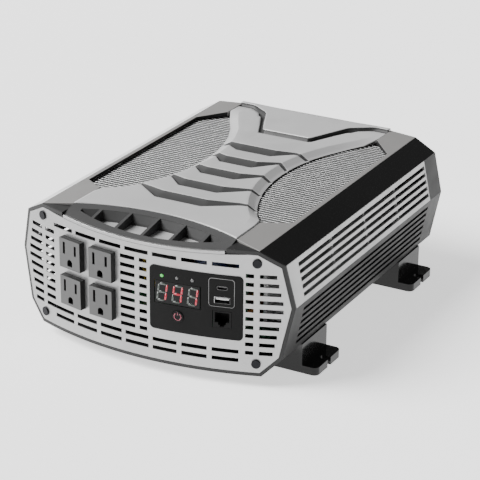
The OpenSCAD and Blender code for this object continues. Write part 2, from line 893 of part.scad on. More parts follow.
// ---- Feet ----
module foot_plan() {
    mid = (foot_in + foot_out) / 2;
    difference() {
        union() {
            translate([mid, 0]) rounded_rect([foot_out - foot_in, foot_length], foot_corner);
            translate([foot_in, -foot_length / 2]) square([foot_corner, foot_length]);
        }
        translate([foot_out - notch_depth + notch_width / 2, 0]) {
            circle(d = notch_width);
            translate([0, -notch_width / 2]) square([notch_depth + 1, notch_width]);
        }
    }
}

module foot_rise(inner_x) {
    difference() {
        translate([inner_x, foot_thick]) square([web_out - inner_x, lower_height - foot_thick]);
        polygon(outline);
    }
}

module foot() {
    half = foot_length / 2;
    color([0.08, 0.08, 0.09]) difference() {
        union() {
            slab(0, foot_thick) foot_plan();
            along_y(-half, half) foot_rise(web_out - foot_web);
            for (y = [-half, half - foot_web]) along_y(y, y + foot_web) foot_rise(foot_in);
            box([foot_in, -half, foot_thick], [foot_in + 9, half, ground_gap]);
        }
        for (y = [-1, 1]) translate([foot_screw_x, y * foot_screw_pitch / 2, 0]) {
            translate([0, 0, -1]) cylinder(r = 4.4, h = 4.2);
            cylinder(r = foot_screw_radius + screw_play, h = 40);
        }
    }
}

module foot_at(side, end) {
    y = end > 0 ? case_length - foot_margin - foot_length / 2 : foot_margin + foot_length / 2;
    translate([0, y, 0]) {
        if (side > 0) children();
        else mirror([1, 0, 0]) children();
    }
}

module each_foot_screw() {
    for (side = [-1, 1], end = [-1, 1], y = [-1, 1])
        foot_at(side, end) translate([foot_screw_x, y * foot_screw_pitch / 2, 0]) children();
}

module front_left_foot() foot_at(-1, -1) foot();
module front_right_foot() foot_at(1, -1) foot();
module rear_left_foot() foot_at(-1, 1) foot();
module rear_right_foot() foot_at(1, 1) foot();

// Screws from below with their nuts on the floor of the case
module foot_screws() {
    floor_top = ground_gap + wall;
    color([0.5, 0.5, 0.5]) each_foot_screw() {
        translate([0, 0, 0.8]) cylinder(r = 4, h = 2.4);
        cylinder(r = foot_screw_radius, h = floor_top + 6);
        translate([0, 0, floor_top]) cylinder(r = 3.9, h = 3.2, $fn = 6);
    }
}

// ---- Rear ----
module at_fan() {
    translate([fan_x, 0, fan_z]) children();
}

module fan_frame() {
    half = fan_size / 2;
    front = rear_back - fan_depth;
    color([0.1, 0.1, 0.1]) at_fan() difference() {
        union() {
            difference() {
                box([-half, front, -half], [half, rear_back, half]);
                peg(fan_bore, front - 1, rear_back + 1);
            }
            peg(14, front, front + 2.5);
            peg(5, front, front + 16);
            for (a = [45:90:315]) rotate([0, a, 0]) box([10, front, -1.6], [fan_bore + 1, front + 2.5, 1.6]);
        }
        peg(shaft_radius + shaft_play, front - 1, front + 17);
        for (x = [-1, 1], z = [-1, 1]) translate([x, 0, z] * fan_hole_pitch / 2)
            peg(2.1, front - 1, rear_back + 1);
    }
}

module left_fan_frame() mirror([1, 0, 0]) fan_frame();
module right_fan_frame() fan_frame();

module fan_rotor() {
    front = rear_back - fan_depth + 4;
    back = rear_back - 2.5;
    color([0.13, 0.13, 0.13]) at_fan() {
        difference() {
            peg(14.5, front, back);
            peg(12.5, front - 1, back - 2);
        }
        peg(shaft_radius, front, back - 1);
        intersection() {
            difference() {
                peg(fan_bore - 0.9, front, back);
                peg(14, front - 1, back + 1);
            }
            for (i = [0:fan_blades - 1]) rotate([0, i * 360 / fan_blades, 0])
                translate([20, (front + back) / 2, 0]) rotate([35, 0, 0])
                    cube([20, 26, 1.6], center = true);
        }
    }
}

module left_fan_rotor() mirror([1, 0, 0]) fan_rotor();
module right_fan_rotor() fan_rotor();

module wire_ring(radius) {
    rotate([90, 0, 0]) rotate_extrude($fn = 64) translate([radius, 0]) circle(r = 0.9, $fn = 24);
}

module fan_guards() {
    reach = fan_hole_pitch / 2;
    color([0.6, 0.6, 0.62]) both_sides() at_fan() {
        translate([0, rear_face + 2.2, 0]) for (i = [0:guard_rings - 1])
            wire_ring(guard_inner + i * (fan_bore - 1 - guard_inner) / (guard_rings - 1));
        for (a = [45, 135]) rotate([0, a, 0]) translate([0, rear_face + 0.9, 0])
            rotate([0, 90, 0]) cylinder(r = 0.9, h = 2 * reach * sqrt(2) - 4, center = true, $fn = 24);
        for (x = [-1, 1], z = [-1, 1]) translate([x, 0, z] * reach) difference() {
            peg(3.6, rear_face, rear_face + 1.6);
            peg(2.1, rear_face - 1, rear_face + 2);
        }
    }
}

module fan_screws() {
    color([0.15, 0.15, 0.15]) both_sides() at_fan()
        for (x = [-1, 1], z = [-1, 1]) translate([x, 0, z] * fan_hole_pitch / 2) {
            peg(1.9, rear_back - fan_depth - 2, rear_face + 1.7);
            peg(3.4, rear_face + 1.7, rear_face + 3.6);
        }
}

module each_stud(side) {
    for (z = [-1, 1]) translate([side * terminal_x, 0, fan_z + z * terminal_pitch / 2]) children();
}

module terminal_base(side) {
    difference() {
        union() {
            translate([side * terminal_x, 0, fan_z]) along_y(rear_face, rear_face + base_deep)
                rounded_rect(base_size, 3);
            each_stud(side) peg(stud_body + 1.8, rear_back - 6, rear_face);
        }
        each_stud(side) peg(stud_body + screw_play, rear_back - 7, rear_face + base_deep + 1);
    }
}

module positive_terminal_base() color([0.7, 0.08, 0.07]) terminal_base(-1);
module negative_terminal_base() color([0.08, 0.08, 0.08]) terminal_base(1);

module terminal_studs() {
    color([0.8, 0.7, 0.4]) for (side = [-1, 1]) each_stud(side) {
        peg(stud_body, rear_back - 14, stud_end - stud_free);
        peg(stud_radius, stud_end - stud_free, stud_end);
        peg(stud_body + 3, rear_back - 9, rear_back - 6);
    }
}

module terminal_nuts() {
    color([0.75, 0.75, 0.76]) for (side = [-1, 1]) each_stud(side)
        along_y(rear_face + base_deep, rear_face + base_deep + nut_thick) difference() {
            circle(d = nut_flats / cos(30), $fn = 6);
            circle(r = stud_body + screw_play);
        }
}

module ground_terminal() {
    nut = 4;
    color([0.75, 0.7, 0.5]) translate([0, 0, ground_z]) {
        peg(ground_radius, rear_back - 6, rear_face + nut + ground_free);
        difference() {
            along_y(rear_face, rear_face + nut) circle(d = 8 / cos(30), $fn = 6);
            peg(ground_radius, rear_face - 1, rear_face + nut + 1);
        }
        peg(3.6, rear_back - 4, rear_back);
    }
}

// ---- Inside ----
module main_board() {
    color([0.1, 0.34, 0.17]) difference() {
        box([-board_half, board_front, board_z], [board_half, board_rear, board_top]);
        each_standoff() translate([0, 0, board_z - 1]) cylinder(r = 1.8, h = 4);
    }
}

module each_standoff() {
    for (x = [-1, 1], y = [board_front + 10, (board_front + board_rear) / 2, board_rear - 10])
        translate([x * (board_half - 28), y, 0]) children();
}

module board_standoffs() {
    color([0.8, 0.68, 0.35]) each_standoff() {
        translate([0, 0, ground_gap + wall])
            cylinder(r = standoff_radius, h = board_z - ground_gap - wall, $fn = 6);
        translate([0, 0, board_z]) cylinder(r = 1.7, h = board_thick);
        translate([0, 0, board_top]) cylinder(r = 3, h = 1.8);
    }
}

module heat_sink() {
    long = [board_front + 14, board_rear - 14];
    color([0.7, 0.71, 0.72]) {
        box([sink_x, long[0], board_top], [sink_x + 4, long[1], board_top + sink_height]);
        for (i = [0:7]) let (z = board_top + i * (sink_height - 2) / 7)
            box([sink_x + 4, long[0], z], [sink_x + 24, long[1], z + 2]);
    }
}

module left_heat_sink() mirror([1, 0, 0]) heat_sink();
module right_heat_sink() heat_sink();

module power_transistors() {
    color([0.1, 0.1, 0.1]) both_sides() for (i = [0:8])
        translate([sink_x - 4.6, board_front + 24 + i * 20, board_top + 6]) {
            cube([4.6, 10, 15]);
            for (j = [-1:1]) translate([2, 4.5 + j * 2.5, -6]) cube([0.8, 1, 6]);
        }
}

module each_transformer() {
    for (i = [0:2]) translate([-36, board_front + 42 + i * 56, board_top]) children();
}

module transformer_cores() {
    s = core_size;
    yoke = 6;
    color([0.2, 0.19, 0.19]) each_transformer() {
        for (z = [0, s.z - yoke]) box([-s.x / 2, -s.y / 2, z], [s.x / 2, s.y / 2, z + yoke]);
        for (x = [-1, 1]) translate([x * (s.x / 2 - 2.5), 0, s.z / 2]) cube([5, s.y, s.z - 2 * yoke + eps], center = true);
        cylinder(r = 7, h = s.z);
    }
}

module transformer_windings() {
    color([0.75, 0.6, 0.15]) each_transformer() difference() {
        translate([0, 0, 6.3]) cylinder(r = 16, h = core_size.z - 12.6);
        cylinder(r = 7.3, h = core_size.z);
    }
}

module capacitors() {
    color([0.12, 0.14, 0.25]) {
        for (i = [0:1], j = [0:3]) translate([2 + i * 20, board_rear - 20 - j * 20, board_top])
            cylinder(r = 8, h = 26);
        for (i = [0:1]) translate([20, board_front + 32 + i * 36, board_top])
            cylinder(r = 15, h = 50);
    }
}

module input_fuses() {
    color([0.85, 0.4, 0.1]) for (i = [0:7])
        translate([fuse_x, board_rear - 14 - i * 9, board_top]) {
            cube([19, 5, 13]);
            translate([1, 1.2, 13]) cube([17, 2.6, 2]);
        }
}

module output_choke() {
    color([0.7, 0.45, 0.2]) translate([choke_x, board_front + 36, board_top + 6])
        rotate_extrude() translate([11, 0]) circle(r = 6);
}

in_frame() lower_case();
in_frame() left_louvre();
in_frame() right_louvre();
in_frame() left_trim();
in_frame() right_trim();
in_frame() left_top_rail();
in_frame() right_top_rail();
in_frame() top_cover();
in_frame() cover_crest();
in_frame() left_grille();
in_frame() right_grille();
in_frame() rear_collar();
in_frame() rear_plate();
in_frame() front_bezel();
in_frame() front_plate();
in_frame() top_lip();
in_frame() vent_scoop();
in_frame() outlet_upper_left();
in_frame() outlet_upper_right();
in_frame() outlet_lower_left();
in_frame() outlet_lower_right();
in_frame() outlet_contacts();
in_frame() control_overlay();
in_frame() display_module();
in_frame() display_digits();
in_frame() indicator_lights();
in_frame() power_button();
in_frame() button_switch();
in_frame() usb_c_port();
in_frame() usb_a_port();
in_frame() remote_jack();
in_frame() plate_screws();
in_frame() front_board();
in_frame() front_left_foot();
in_frame() front_right_foot();
in_frame() rear_left_foot();
in_frame() rear_right_foot();
in_frame() foot_screws();
in_frame() left_fan_frame();
in_frame() right_fan_frame();
in_frame() left_fan_rotor();
in_frame() right_fan_rotor();
in_frame() fan_guards();
in_frame() fan_screws();
in_frame() positive_terminal_base();
in_frame() negative_terminal_base();
in_frame() terminal_studs();
in_frame() terminal_nuts();
in_frame() ground_terminal();
in_frame() rear_screws();
in_frame() main_board();
in_frame() board_standoffs();
in_frame() left_heat_sink();
in_frame() right_heat_sink();
in_frame() power_transistors();
in_frame() transformer_cores();
in_frame() transformer_windings();
in_frame() capacitors();
in_frame() input_fuses();
in_frame() output_choke();
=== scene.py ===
"""Mains power inverter: the visual model, its materials, and a plain studio.

Most pieces are copies of a CAD node: its flat faces are made whole again, its edges are rounded, and it goes
back on its own body. The sculpted top, the air scoop, the grilles, the lamps and the display figures are
modelled here in full. The front plate, the fan guards and some inner parts keep their CAD mesh and take a
finished material.
Lengths are in metres, in the frame's own axes.
"""
import json
import math

import bmesh
import bpy
from mathutils import Matrix, Vector


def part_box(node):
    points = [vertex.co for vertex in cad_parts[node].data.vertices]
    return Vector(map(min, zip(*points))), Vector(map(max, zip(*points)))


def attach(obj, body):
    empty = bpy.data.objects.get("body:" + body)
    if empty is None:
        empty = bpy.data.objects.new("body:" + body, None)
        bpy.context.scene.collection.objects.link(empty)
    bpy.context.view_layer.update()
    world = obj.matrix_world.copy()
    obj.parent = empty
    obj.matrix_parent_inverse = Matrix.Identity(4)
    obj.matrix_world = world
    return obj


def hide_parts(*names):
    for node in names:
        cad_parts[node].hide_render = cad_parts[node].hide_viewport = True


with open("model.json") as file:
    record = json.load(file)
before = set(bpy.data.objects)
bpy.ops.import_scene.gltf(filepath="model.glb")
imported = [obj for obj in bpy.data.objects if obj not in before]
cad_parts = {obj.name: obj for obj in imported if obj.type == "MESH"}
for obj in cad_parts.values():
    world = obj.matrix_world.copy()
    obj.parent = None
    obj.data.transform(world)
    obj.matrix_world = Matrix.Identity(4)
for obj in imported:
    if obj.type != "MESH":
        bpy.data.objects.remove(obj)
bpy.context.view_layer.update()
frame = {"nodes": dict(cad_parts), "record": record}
MM = 0.001
slot_of = {part["node"]: part["material_slot"] for part in frame["record"]["subparts"]}


# ---------------------------------------------------------------- places taken from the frame
case_low, case_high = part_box("lower_case")
HALF_WIDTH = case_high.x
BOW = 30 * MM                       # how far the middle of the front stands ahead of its sides
PLATE_LEAD = 1.5 * MM               # how far the plate stands ahead of the case walls
BOW_RADIUS = (HALF_WIDTH ** 2 + BOW ** 2) / (2 * BOW)
BOW_AXIS = case_low.y + BOW_RADIUS
PLATE_RADIUS = BOW_RADIUS + PLATE_LEAD
SIDE_FRONT = case_low.y + BOW       # where the front meets the sides
REAR = case_high.y
joint_of = {joint["name"]: joint for joint in frame["record"]["behaviour"]["joints"]}
BUTTON_X = -joint_of["power_button_press"]["axis"][0] * PLATE_RADIUS


def along_plate(node, half):
    """x on the plate of a straight-sided piece that is 2 * half wide at its face."""
    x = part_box(node)[1].x
    for _ in range(4):
        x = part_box(node)[1].x - half * math.sqrt(1 - (x / PLATE_RADIUS) ** 2)
    return x


def bow_y(x, radius=PLATE_RADIUS):
    """Depth of a bowed surface of this radius at x."""
    return BOW_AXIS - math.sqrt(radius * radius - x * x)


# ---------------------------------------------------------------- materials
class Surface:
    """A material under construction: a Principled shader and the helpers that feed it."""

    def __init__(self, name, roughness, metallic=0.0, coat=0.0, specular=0.5):
        self.material = bpy.data.materials.new(name)
        self.material.use_nodes = True
        self.nodes = self.material.node_tree.nodes
        self.links = self.material.node_tree.links
        self.shader = self.nodes["Principled BSDF"]
        self.shader.inputs["Roughness"].default_value = roughness
        self.shader.inputs["Metallic"].default_value = metallic
        self.shader.inputs["Coat Weight"].default_value = coat
        self.shader.inputs["Coat Roughness"].default_value = 0.08
        self.shader.inputs["Specular IOR Level"].default_value = specular
        self.place = self.add("ShaderNodeTexCoord").outputs["Object"]
        self.bump_normal = None

    def add(self, kind, **values):
        node = self.nodes.new(kind)
        for key, value in values.items():
            if key in node.inputs:
                node.inputs[key].default_value = value
            else:
                setattr(node, key, value)
        return node

    def noise(self, size, detail=4.0, stretch=(1, 1, 1)):
        """Noise whose grains are about this many metres across, drawn out along an axis by stretch."""
        mapping = self.add("ShaderNodeMapping")
        mapping.inputs["Scale"].default_value = [1 / s for s in stretch]
        self.links.new(self.place, mapping.inputs["Vector"])
        noise = self.add("ShaderNodeTexNoise", Scale=1 / size, Detail=detail)
        self.links.new(mapping.outputs["Vector"], noise.inputs["Vector"])
        return noise.outputs["Fac"]

    def spread(self, source, low, high, from_low=0.3, from_high=0.7):
        node = self.add("ShaderNodeMapRange")
        node.inputs["From Min"].default_value = from_low
        node.inputs["From Max"].default_value = from_high
        node.inputs["To Min"].default_value = low
        node.inputs["To Max"].default_value = high
        self.links.new(source, node.inputs["Value"])
        return node.outputs["Result"]

    def shades(self, source, dark, light):
        ramp = self.add("ShaderNodeValToRGB")
        ramp.color_ramp.elements[0].position = 0.3
        ramp.color_ramp.elements[1].position = 0.7
        ramp.color_ramp.elements[0].color = (*dark, 1)
        ramp.color_ramp.elements[1].color = (*light, 1)
        self.links.new(source, ramp.inputs["Fac"])
        return ramp.outputs["Color"]

    def edge_mask(self, radius, amount):
        """Near one where an edge turns outwards sharply, broken up by noise."""
        rounded = self.add("ShaderNodeBevel", Radius=radius, samples=4)
        plain = self.add("ShaderNodeNewGeometry")
        dot = self.add("ShaderNodeVectorMath", operation="DOT_PRODUCT")
        self.links.new(rounded.outputs["Normal"], dot.inputs[0])
        self.links.new(plain.outputs["Normal"], dot.inputs[1])
        mask = self.spread(dot.outputs["Value"], amount, 0.0, 0.72, 0.97)
        broken = self.add("ShaderNodeMath", operation="MULTIPLY")
        self.links.new(mask, broken.inputs[0])
        self.links.new(self.spread(self.noise(4 * MM), 0.25, 1.0), broken.inputs[1])
        return broken.outputs["Value"]

    def color(self, dark, light, size=0.05, worn=None, wear=0.0, edge=0.5 * MM):
        shade = self.shades(self.noise(size, 5.0), dark, light)
        if worn:
            mix = self.add("ShaderNodeMix", data_type="RGBA")
            self.links.new(self.edge_mask(edge, wear), mix.inputs["Factor"])
            self.links.new(shade, mix.inputs["A"])
            mix.inputs["B"].default_value = (*worn, 1)
            shade = mix.outputs["Result"]
        self.links.new(shade, self.shader.inputs["Base Color"])
        return self

    def rough(self, low, high, size=0.02, stretch=(1, 1, 1)):
        roughness = self.spread(self.noise(size, 6.0, stretch), low, high)
        self.links.new(roughness, self.shader.inputs["Roughness"])
        return self

    def bump(self, size, strength, depth=0.05 * MM, stretch=(1, 1, 1), detail=3.0):
        node = self.add("ShaderNodeBump", Strength=strength, Distance=depth)
        self.links.new(self.noise(size, detail, stretch), node.inputs["Height"])
        if self.bump_normal:
            self.links.new(self.bump_normal, node.inputs["Normal"])
        self.bump_normal = node.outputs["Normal"]
        self.links.new(self.bump_normal, self.shader.inputs["Normal"])
        return self

    def glow(self, color, strength):
        self.shader.inputs["Emission Color"].default_value = (*color, 1)
        self.shader.inputs["Emission Strength"].default_value = strength
        return self


def grey(value, warm=0.0):
    return (value * (1 + warm), value, value * (1 - warm))


def shaded(value, spread=0.05, warm=0.0):
    """A dark and a light shade around one grey."""
    return grey(value * (1 - spread), warm), grey(value * (1 + spread), warm)


def tinted(color, spread=0.08):
    return tuple(c * (1 - spread) for c in color), tuple(min(1, c * (1 + spread)) for c in color)


def powder_coat(name, value, worn=0.3):
    s = Surface(name, 0.5, specular=0.2).color(*shaded(value, 0.08), worn=grey(worn), wear=0.3)
    return s.rough(0.38, 0.52).bump(0.6 * MM, 0.25).bump(4 * MM, 0.08, 0.1 * MM).material


def silver_paint(name, value):
    s = Surface(name, 0.35, metallic=0.55).color(*shaded(value, 0.04), worn=grey(0.75), wear=0.3)
    return s.rough(0.28, 0.42).bump(0.4 * MM, 0.12).bump(9 * MM, 0.05, 0.1 * MM).material


def moulded(name, value, rough=0.5, warm=0.0, grain=0.5 * MM, texture=0.3, metallic=0.0, worn=None,
            specular=0.4):
    """A moulded plastic; its edges wear to a lighter grey unless worn says otherwise."""
    worn = grey(min(1.0, value * 1.5 + 0.05) if worn is None else worn)
    s = Surface(name, rough, metallic=metallic, specular=specular)
    s.color(*shaded(value, 0.04, warm), worn=worn, wear=0.25)
    return s.rough(rough - 0.06, rough + 0.06).bump(grain, texture).bump(8 * MM, 0.05, 0.1 * MM).material


def polished(name, value, coat=0.6, specular=0.5):
    s = Surface(name, 0.12, coat=coat, specular=specular)
    s.color(*shaded(value, 0.1), worn=grey(0.05), wear=0.3)
    return s.rough(0.08, 0.2, 0.03).bump(30 * MM, 0.04, 0.2 * MM).bump(0.5 * MM, 0.03).material


def brushed(name, value, along="x"):
    """Bare metal with fine scratches that run along x or y."""
    stretch = {"x": (60, 1, 1), "y": (1, 60, 1)}[along]
    s = Surface(name, 0.35, metallic=0.85).color(*shaded(value, 0.05), 0.03, grey(0.85), 0.35, 0.35 * MM)
    s.rough(0.26, 0.46, 0.35 * MM, stretch)
    return s.bump(0.25 * MM, 0.16, 0.03 * MM, stretch).bump(20 * MM, 0.04, 0.1 * MM).material


def plated(name, color, rough=0.25):
    s = Surface(name, rough, metallic=1.0).color(*tinted(color), worn=(0.95, 0.93, 0.9), wear=0.3)
    return s.rough(rough - 0.08, rough + 0.1, 3 * MM).bump(0.3 * MM, 0.1).material


def coloured(name, color, rough=0.35, coat=0.0):
    worn = tuple(min(1, c * 1.4 + 0.04) for c in color)
    s = Surface(name, rough, coat=coat).color(*tinted(color), worn=worn, wear=0.3)
    return s.rough(rough - 0.07, rough + 0.08, 6 * MM).bump(0.5 * MM, 0.12).material


def lamp(name, color, glow, strength):
    s = Surface(name, 0.3, coat=0.5).color(*tinted(color, 0.15), size=2 * MM)
    return s.rough(0.2, 0.4, 1 * MM).bump(0.4 * MM, 0.1).glow(glow, strength).material


MATERIALS = {
    "dark_case": powder_coat("dark powder coat", 0.03, 0.1),
    "silver_louvre": silver_paint("silver louvre paint", 0.42),
    "gloss_trim": polished("gloss black moulding", 0.006, 0.2, 0.3),
    "bezel_black": moulded("satin black rim", 0.02, 0.4, worn=0.08, specular=0.25),
    "grey_rail": moulded("warm grey moulding", 0.24, 0.42, warm=0.02),
    "silver_cover": moulded("light silver moulding", 0.62, 0.42, metallic=0.25, worn=0.8),
    # Painted shade: a near-black copy of the cover's silver for the walls and floors of its grooves and the
    # walls of the scoop's pockets
    "cover_wall": moulded("painted shade in hollows", 0.04, 0.5, worn=0.1),
    # The lip's silver made paler: painted light on the floors of the scoop's pockets
    "shelf_silver": silver_paint("pale silver with painted light", 0.75),
    "grille_mesh": silver_paint("grey grille paint", 0.42),
    # Painted shade: near-black for the gaps between grille ribs and for the rail walls beside the grilles
    "grille_gap": moulded("painted shade at grilles", 0.012, 0.6),
    "scoop_grey": moulded("dark grey moulding", 0.055, 0.45),
    "plate_silver": brushed("brushed silver plate", 0.37),
    "outlet_grey": moulded("grey outlet moulding", 0.08, 0.4, grain=0.8 * MM, texture=0.15),
    # Painted shade: near-black for the outlets' faces that do not look forward and the insides of their holes
    "outlet_black": moulded("painted shade on outlets", 0.008, 0.45, grain=0.8 * MM, texture=0.15, worn=0.03,
                            specular=0.2),
    "contact_brass": plated("formed brass", (0.75, 0.58, 0.28)),
    "panel_black": moulded("satin black film", 0.006, 0.5, grain=0.35 * MM, texture=0.12, worn=0.03,
                           specular=0.1),
    "display_dark": polished("tinted window", 0.006, 0.0, 0.15),
    "button_black": moulded("black button", 0.006, 0.5, worn=0.03, specular=0.12),
    "port_steel": plated("blackened shell", (0.05, 0.05, 0.052), 0.35),
    "tongue_white": moulded("white tongue", 0.6, 0.4),
    "jack_black": moulded("black socket moulding", 0.006, 0.5, texture=0.15, worn=0.03, specular=0.12),
    "screw_black": plated("blackened steel", (0.018, 0.018, 0.02), 0.35),
    "screw_steel": plated("zinc plated steel", (0.62, 0.62, 0.6)),
    "board_green": coloured("green solder mask", (0.02, 0.12, 0.05), coat=0.4),
    "foot_black": polished("gloss black bracket coat", 0.008, 0.2, 0.35),
    "fan_black": moulded("black fan moulding", 0.02, 0.45),
    "wire_steel": plated("nickel plated wire", (0.66, 0.65, 0.62), 0.18),
    "terminal_red": coloured("red terminal moulding", (0.5, 0.02, 0.02), coat=0.3),
    "terminal_black": moulded("black terminal moulding", 0.02, 0.35),
    "stud_brass": plated("turned brass", (0.78, 0.62, 0.32), 0.22),
    "nut_steel": plated("nickel plated nut", (0.72, 0.7, 0.66), 0.2),
    "sink_aluminium": brushed("extruded aluminium", 0.62, "y"),
    "core_ferrite": moulded("ferrite", 0.05, 0.55),
    "winding_tape": coloured("yellow tape", (0.62, 0.42, 0.05), 0.3),
    "capacitor_blue": coloured("blue sleeve", (0.03, 0.05, 0.16), 0.25, 0.3),
    "fuse_orange": coloured("orange fuse moulding", (0.75, 0.24, 0.03), 0.3, 0.2),
    "choke_copper": plated("enamelled copper", (0.62, 0.26, 0.08), 0.3),
    "lamp_lit": lamp("lit green lamp", (0.05, 0.35, 0.06), (0.08, 0.8, 0.12), 0.35),
    # The unlit lamp and the unlit figure bars take a faint grey glow, which is painted light
    "lamp_unlit": lamp("unlit lamp", (0.08, 0.08, 0.08), (0.2, 0.2, 0.2), 0.02),
    "segment_lit": lamp("lit red segment", (0.35, 0.002, 0.02), (1.0, 0.0, 0.04), 0.12),
    "segment_unlit": lamp("unlit segment", (0.04, 0.05, 0.042), (0.2, 0.2, 0.2), 0.01),
    "ring_red": lamp("dark red ring", (0.16, 0.01, 0.03), (1.0, 0.02, 0.08), 0.03),
    "ink_grey": moulded("pale grey ink", 0.16, 0.5),
}


# ---------------------------------------------------------------- mesh helpers
def copy_of(node):
    """The CAD node's mesh with its corners welded."""
    bm = bmesh.new()
    bm.from_mesh(frame["nodes"][node].data)
    bmesh.ops.remove_doubles(bm, verts=bm.verts, dist=0.002 * MM)
    bmesh.ops.recalc_face_normals(bm, faces=bm.faces)
    return bm


def make_flats_whole(bm, degrees=0.4):
    bmesh.ops.dissolve_limit(bm, angle_limit=math.radians(degrees), verts=bm.verts, edges=bm.edges)


def round_edges(bm, width, segments=2, degrees=28):
    sharp = [e for e in bm.edges if len(e.link_faces) == 2 and e.calc_face_angle(0) > math.radians(degrees)]
    bmesh.ops.bevel(bm, geom=sharp, offset=width, offset_type="OFFSET", segments=segments, profile=0.6,
                    affect="EDGES", clamp_overlap=True, loop_slide=True)


def unroll(bm):
    """Flattens the bowed front: x becomes the way along the plate, y the depth behind it."""
    for v in bm.verts:
        dx, dy = v.co.x, BOW_AXIS - v.co.y
        v.co.x = math.atan2(dx, dy) * PLATE_RADIUS
        v.co.y = PLATE_RADIUS - math.hypot(dx, dy)


def roll(bm, step=4 * MM, off_centre=0.13 * MM):
    """Cuts the flattened front into narrow strips and bends it back to its bow.

    The cuts stand a little off centre, so that none runs along an edge of a piece.
    """
    reach = max(abs(v.co.x) for v in bm.verts)
    count = int(reach / step)
    for i in range(-count, count + 1):
        geom = bm.verts[:] + bm.edges[:] + bm.faces[:]
        bmesh.ops.bisect_plane(bm, geom=geom, plane_co=(i * step + off_centre, 0, 0), plane_no=(1, 0, 0))
    for v in bm.verts:
        turn, radius = v.co.x / PLATE_RADIUS, PLATE_RADIUS - v.co.y
        v.co.x = math.sin(turn) * radius
        v.co.y = BOW_AXIS - math.cos(turn) * radius


def add_piece(bm, name, material, body="case", stands_for=(), weighted=True, second=None,
              picks=None):
    """Turns the mesh into a shown piece on a body; faces that picks(face) chooses take a second material."""
    mesh = bpy.data.meshes.new(name)
    bmesh.ops.recalc_face_normals(bm, faces=bm.faces)
    if picks:
        bm.normal_update()
        for face in bm.faces:
            face.material_index = 1 if picks(face) else 0
    bm.to_mesh(mesh)
    bm.free()
    mesh.materials.append(MATERIALS[material])
    if second:
        mesh.materials.append(MATERIALS[second])
    for polygon in mesh.polygons:
        polygon.use_smooth = True
    obj = bpy.data.objects.new(name, mesh)
    bpy.context.scene.collection.objects.link(obj)
    if weighted:
        normals = obj.modifiers.new("even flats", "WEIGHTED_NORMAL")
        normals.keep_sharp = True
    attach(obj, body)
    if stands_for:
        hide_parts(*stands_for)
    return obj


def shaped(node, width, body="case", bowed=False, material=None, segments=2, second=None, picks=None):
    """A CAD node with its edges rounded to this width."""
    bm = copy_of(node)
    if bowed:
        unroll(bm)
    make_flats_whole(bm)
    round_edges(bm, width, segments)
    if bowed:
        roll(bm)
    return add_piece(bm, node + "_finished", material or slot_of[node], body, (node,), second=second,
                     picks=picks)


def grid_faces(bm, rows, second=None):
    """Quads between rows of points; the strips up to the rows marked in second take the second material."""
    grid = [[bm.verts.new(p) for p in row] for row in rows]
    for j, (a, b) in enumerate(zip(grid, grid[1:])):
        for i in range(len(a) - 1):
            face = bm.faces.new((a[i], a[i + 1], b[i + 1], b[i]))
            face.material_index = 1 if second and second[j + 1] else 0
    bm.faces.index_update()


def close_below(bm, z):
    """Drops the open rim of a sheet to a level and closes it underneath."""
    rim = [e for e in bm.edges if len(e.link_faces) == 1]
    made = bmesh.ops.extrude_edge_only(bm, edges=rim)["geom"]
    for v in made:
        if isinstance(v, bmesh.types.BMVert):
            v.co.z = z
    below = [e for e in made if isinstance(e, bmesh.types.BMEdge)]
    bmesh.ops.triangle_fill(bm, edges=below, use_beauty=True)


# ---------------------------------------------------------------- top cover
cover_low, cover_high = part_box("top_cover")
SEAM_X = cover_high.x
COVER_TOP = cover_high.z
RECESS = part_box("right_grille")
LEDGE = 1.5 * MM                     # how far a grille reaches under the edges around it
WAIST_X = RECESS[0].x + LEDGE        # half width of the cover at its waist
TOP_MIDDLE = (RECESS[0].y + RECESS[1].y) / 2
STRAIGHT_MIDDLE = TOP_MIDDLE - 4 * MM  # middle of the straight outer edges of the grilles
WAIST_SPAN = 111 * MM                # half length of the waist's arc
WAIST_SAG = SEAM_X + 0.1 * MM - WAIST_X
WAIST_RADIUS = (WAIST_SPAN ** 2 + WAIST_SAG ** 2) / (2 * WAIST_SAG)
SCOOP_RISE = 16.4 * MM               # how far the scoop's rear edge bows back between the seams
SHOULDER_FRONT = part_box("vent_scoop")[1].y - SCOOP_RISE
SCOOP_RADIUS = ((SEAM_X + 0.1 * MM) ** 2 + SCOOP_RISE ** 2) / (2 * SCOOP_RISE)
SCOOP_AXIS = SHOULDER_FRONT + SCOOP_RISE - SCOOP_RADIUS


def cover_half(y):
    """Half width of the cover at depth y."""
    away = abs(y - TOP_MIDDLE)
    if away > WAIST_SPAN:
        return SEAM_X
    return min(SEAM_X, WAIST_X + WAIST_RADIUS - math.sqrt(WAIST_RADIUS ** 2 - away ** 2))


def polyline(points, x):
    """Linear interpolation through points, held level past both ends."""
    if x <= points[0][0]:
        return points[0][1]
    for (x0, y0), (x1, y1) in zip(points, points[1:]):
        if x <= x1:
            return y0 + (y1 - y0) * (x - x0) / (x1 - x0)
    return points[-1][1]


def smooth_step(value, low, high):
    t = min(1.0, max(0.0, (value - low) / (high - low)))
    return t * t * (3 - 2 * t)


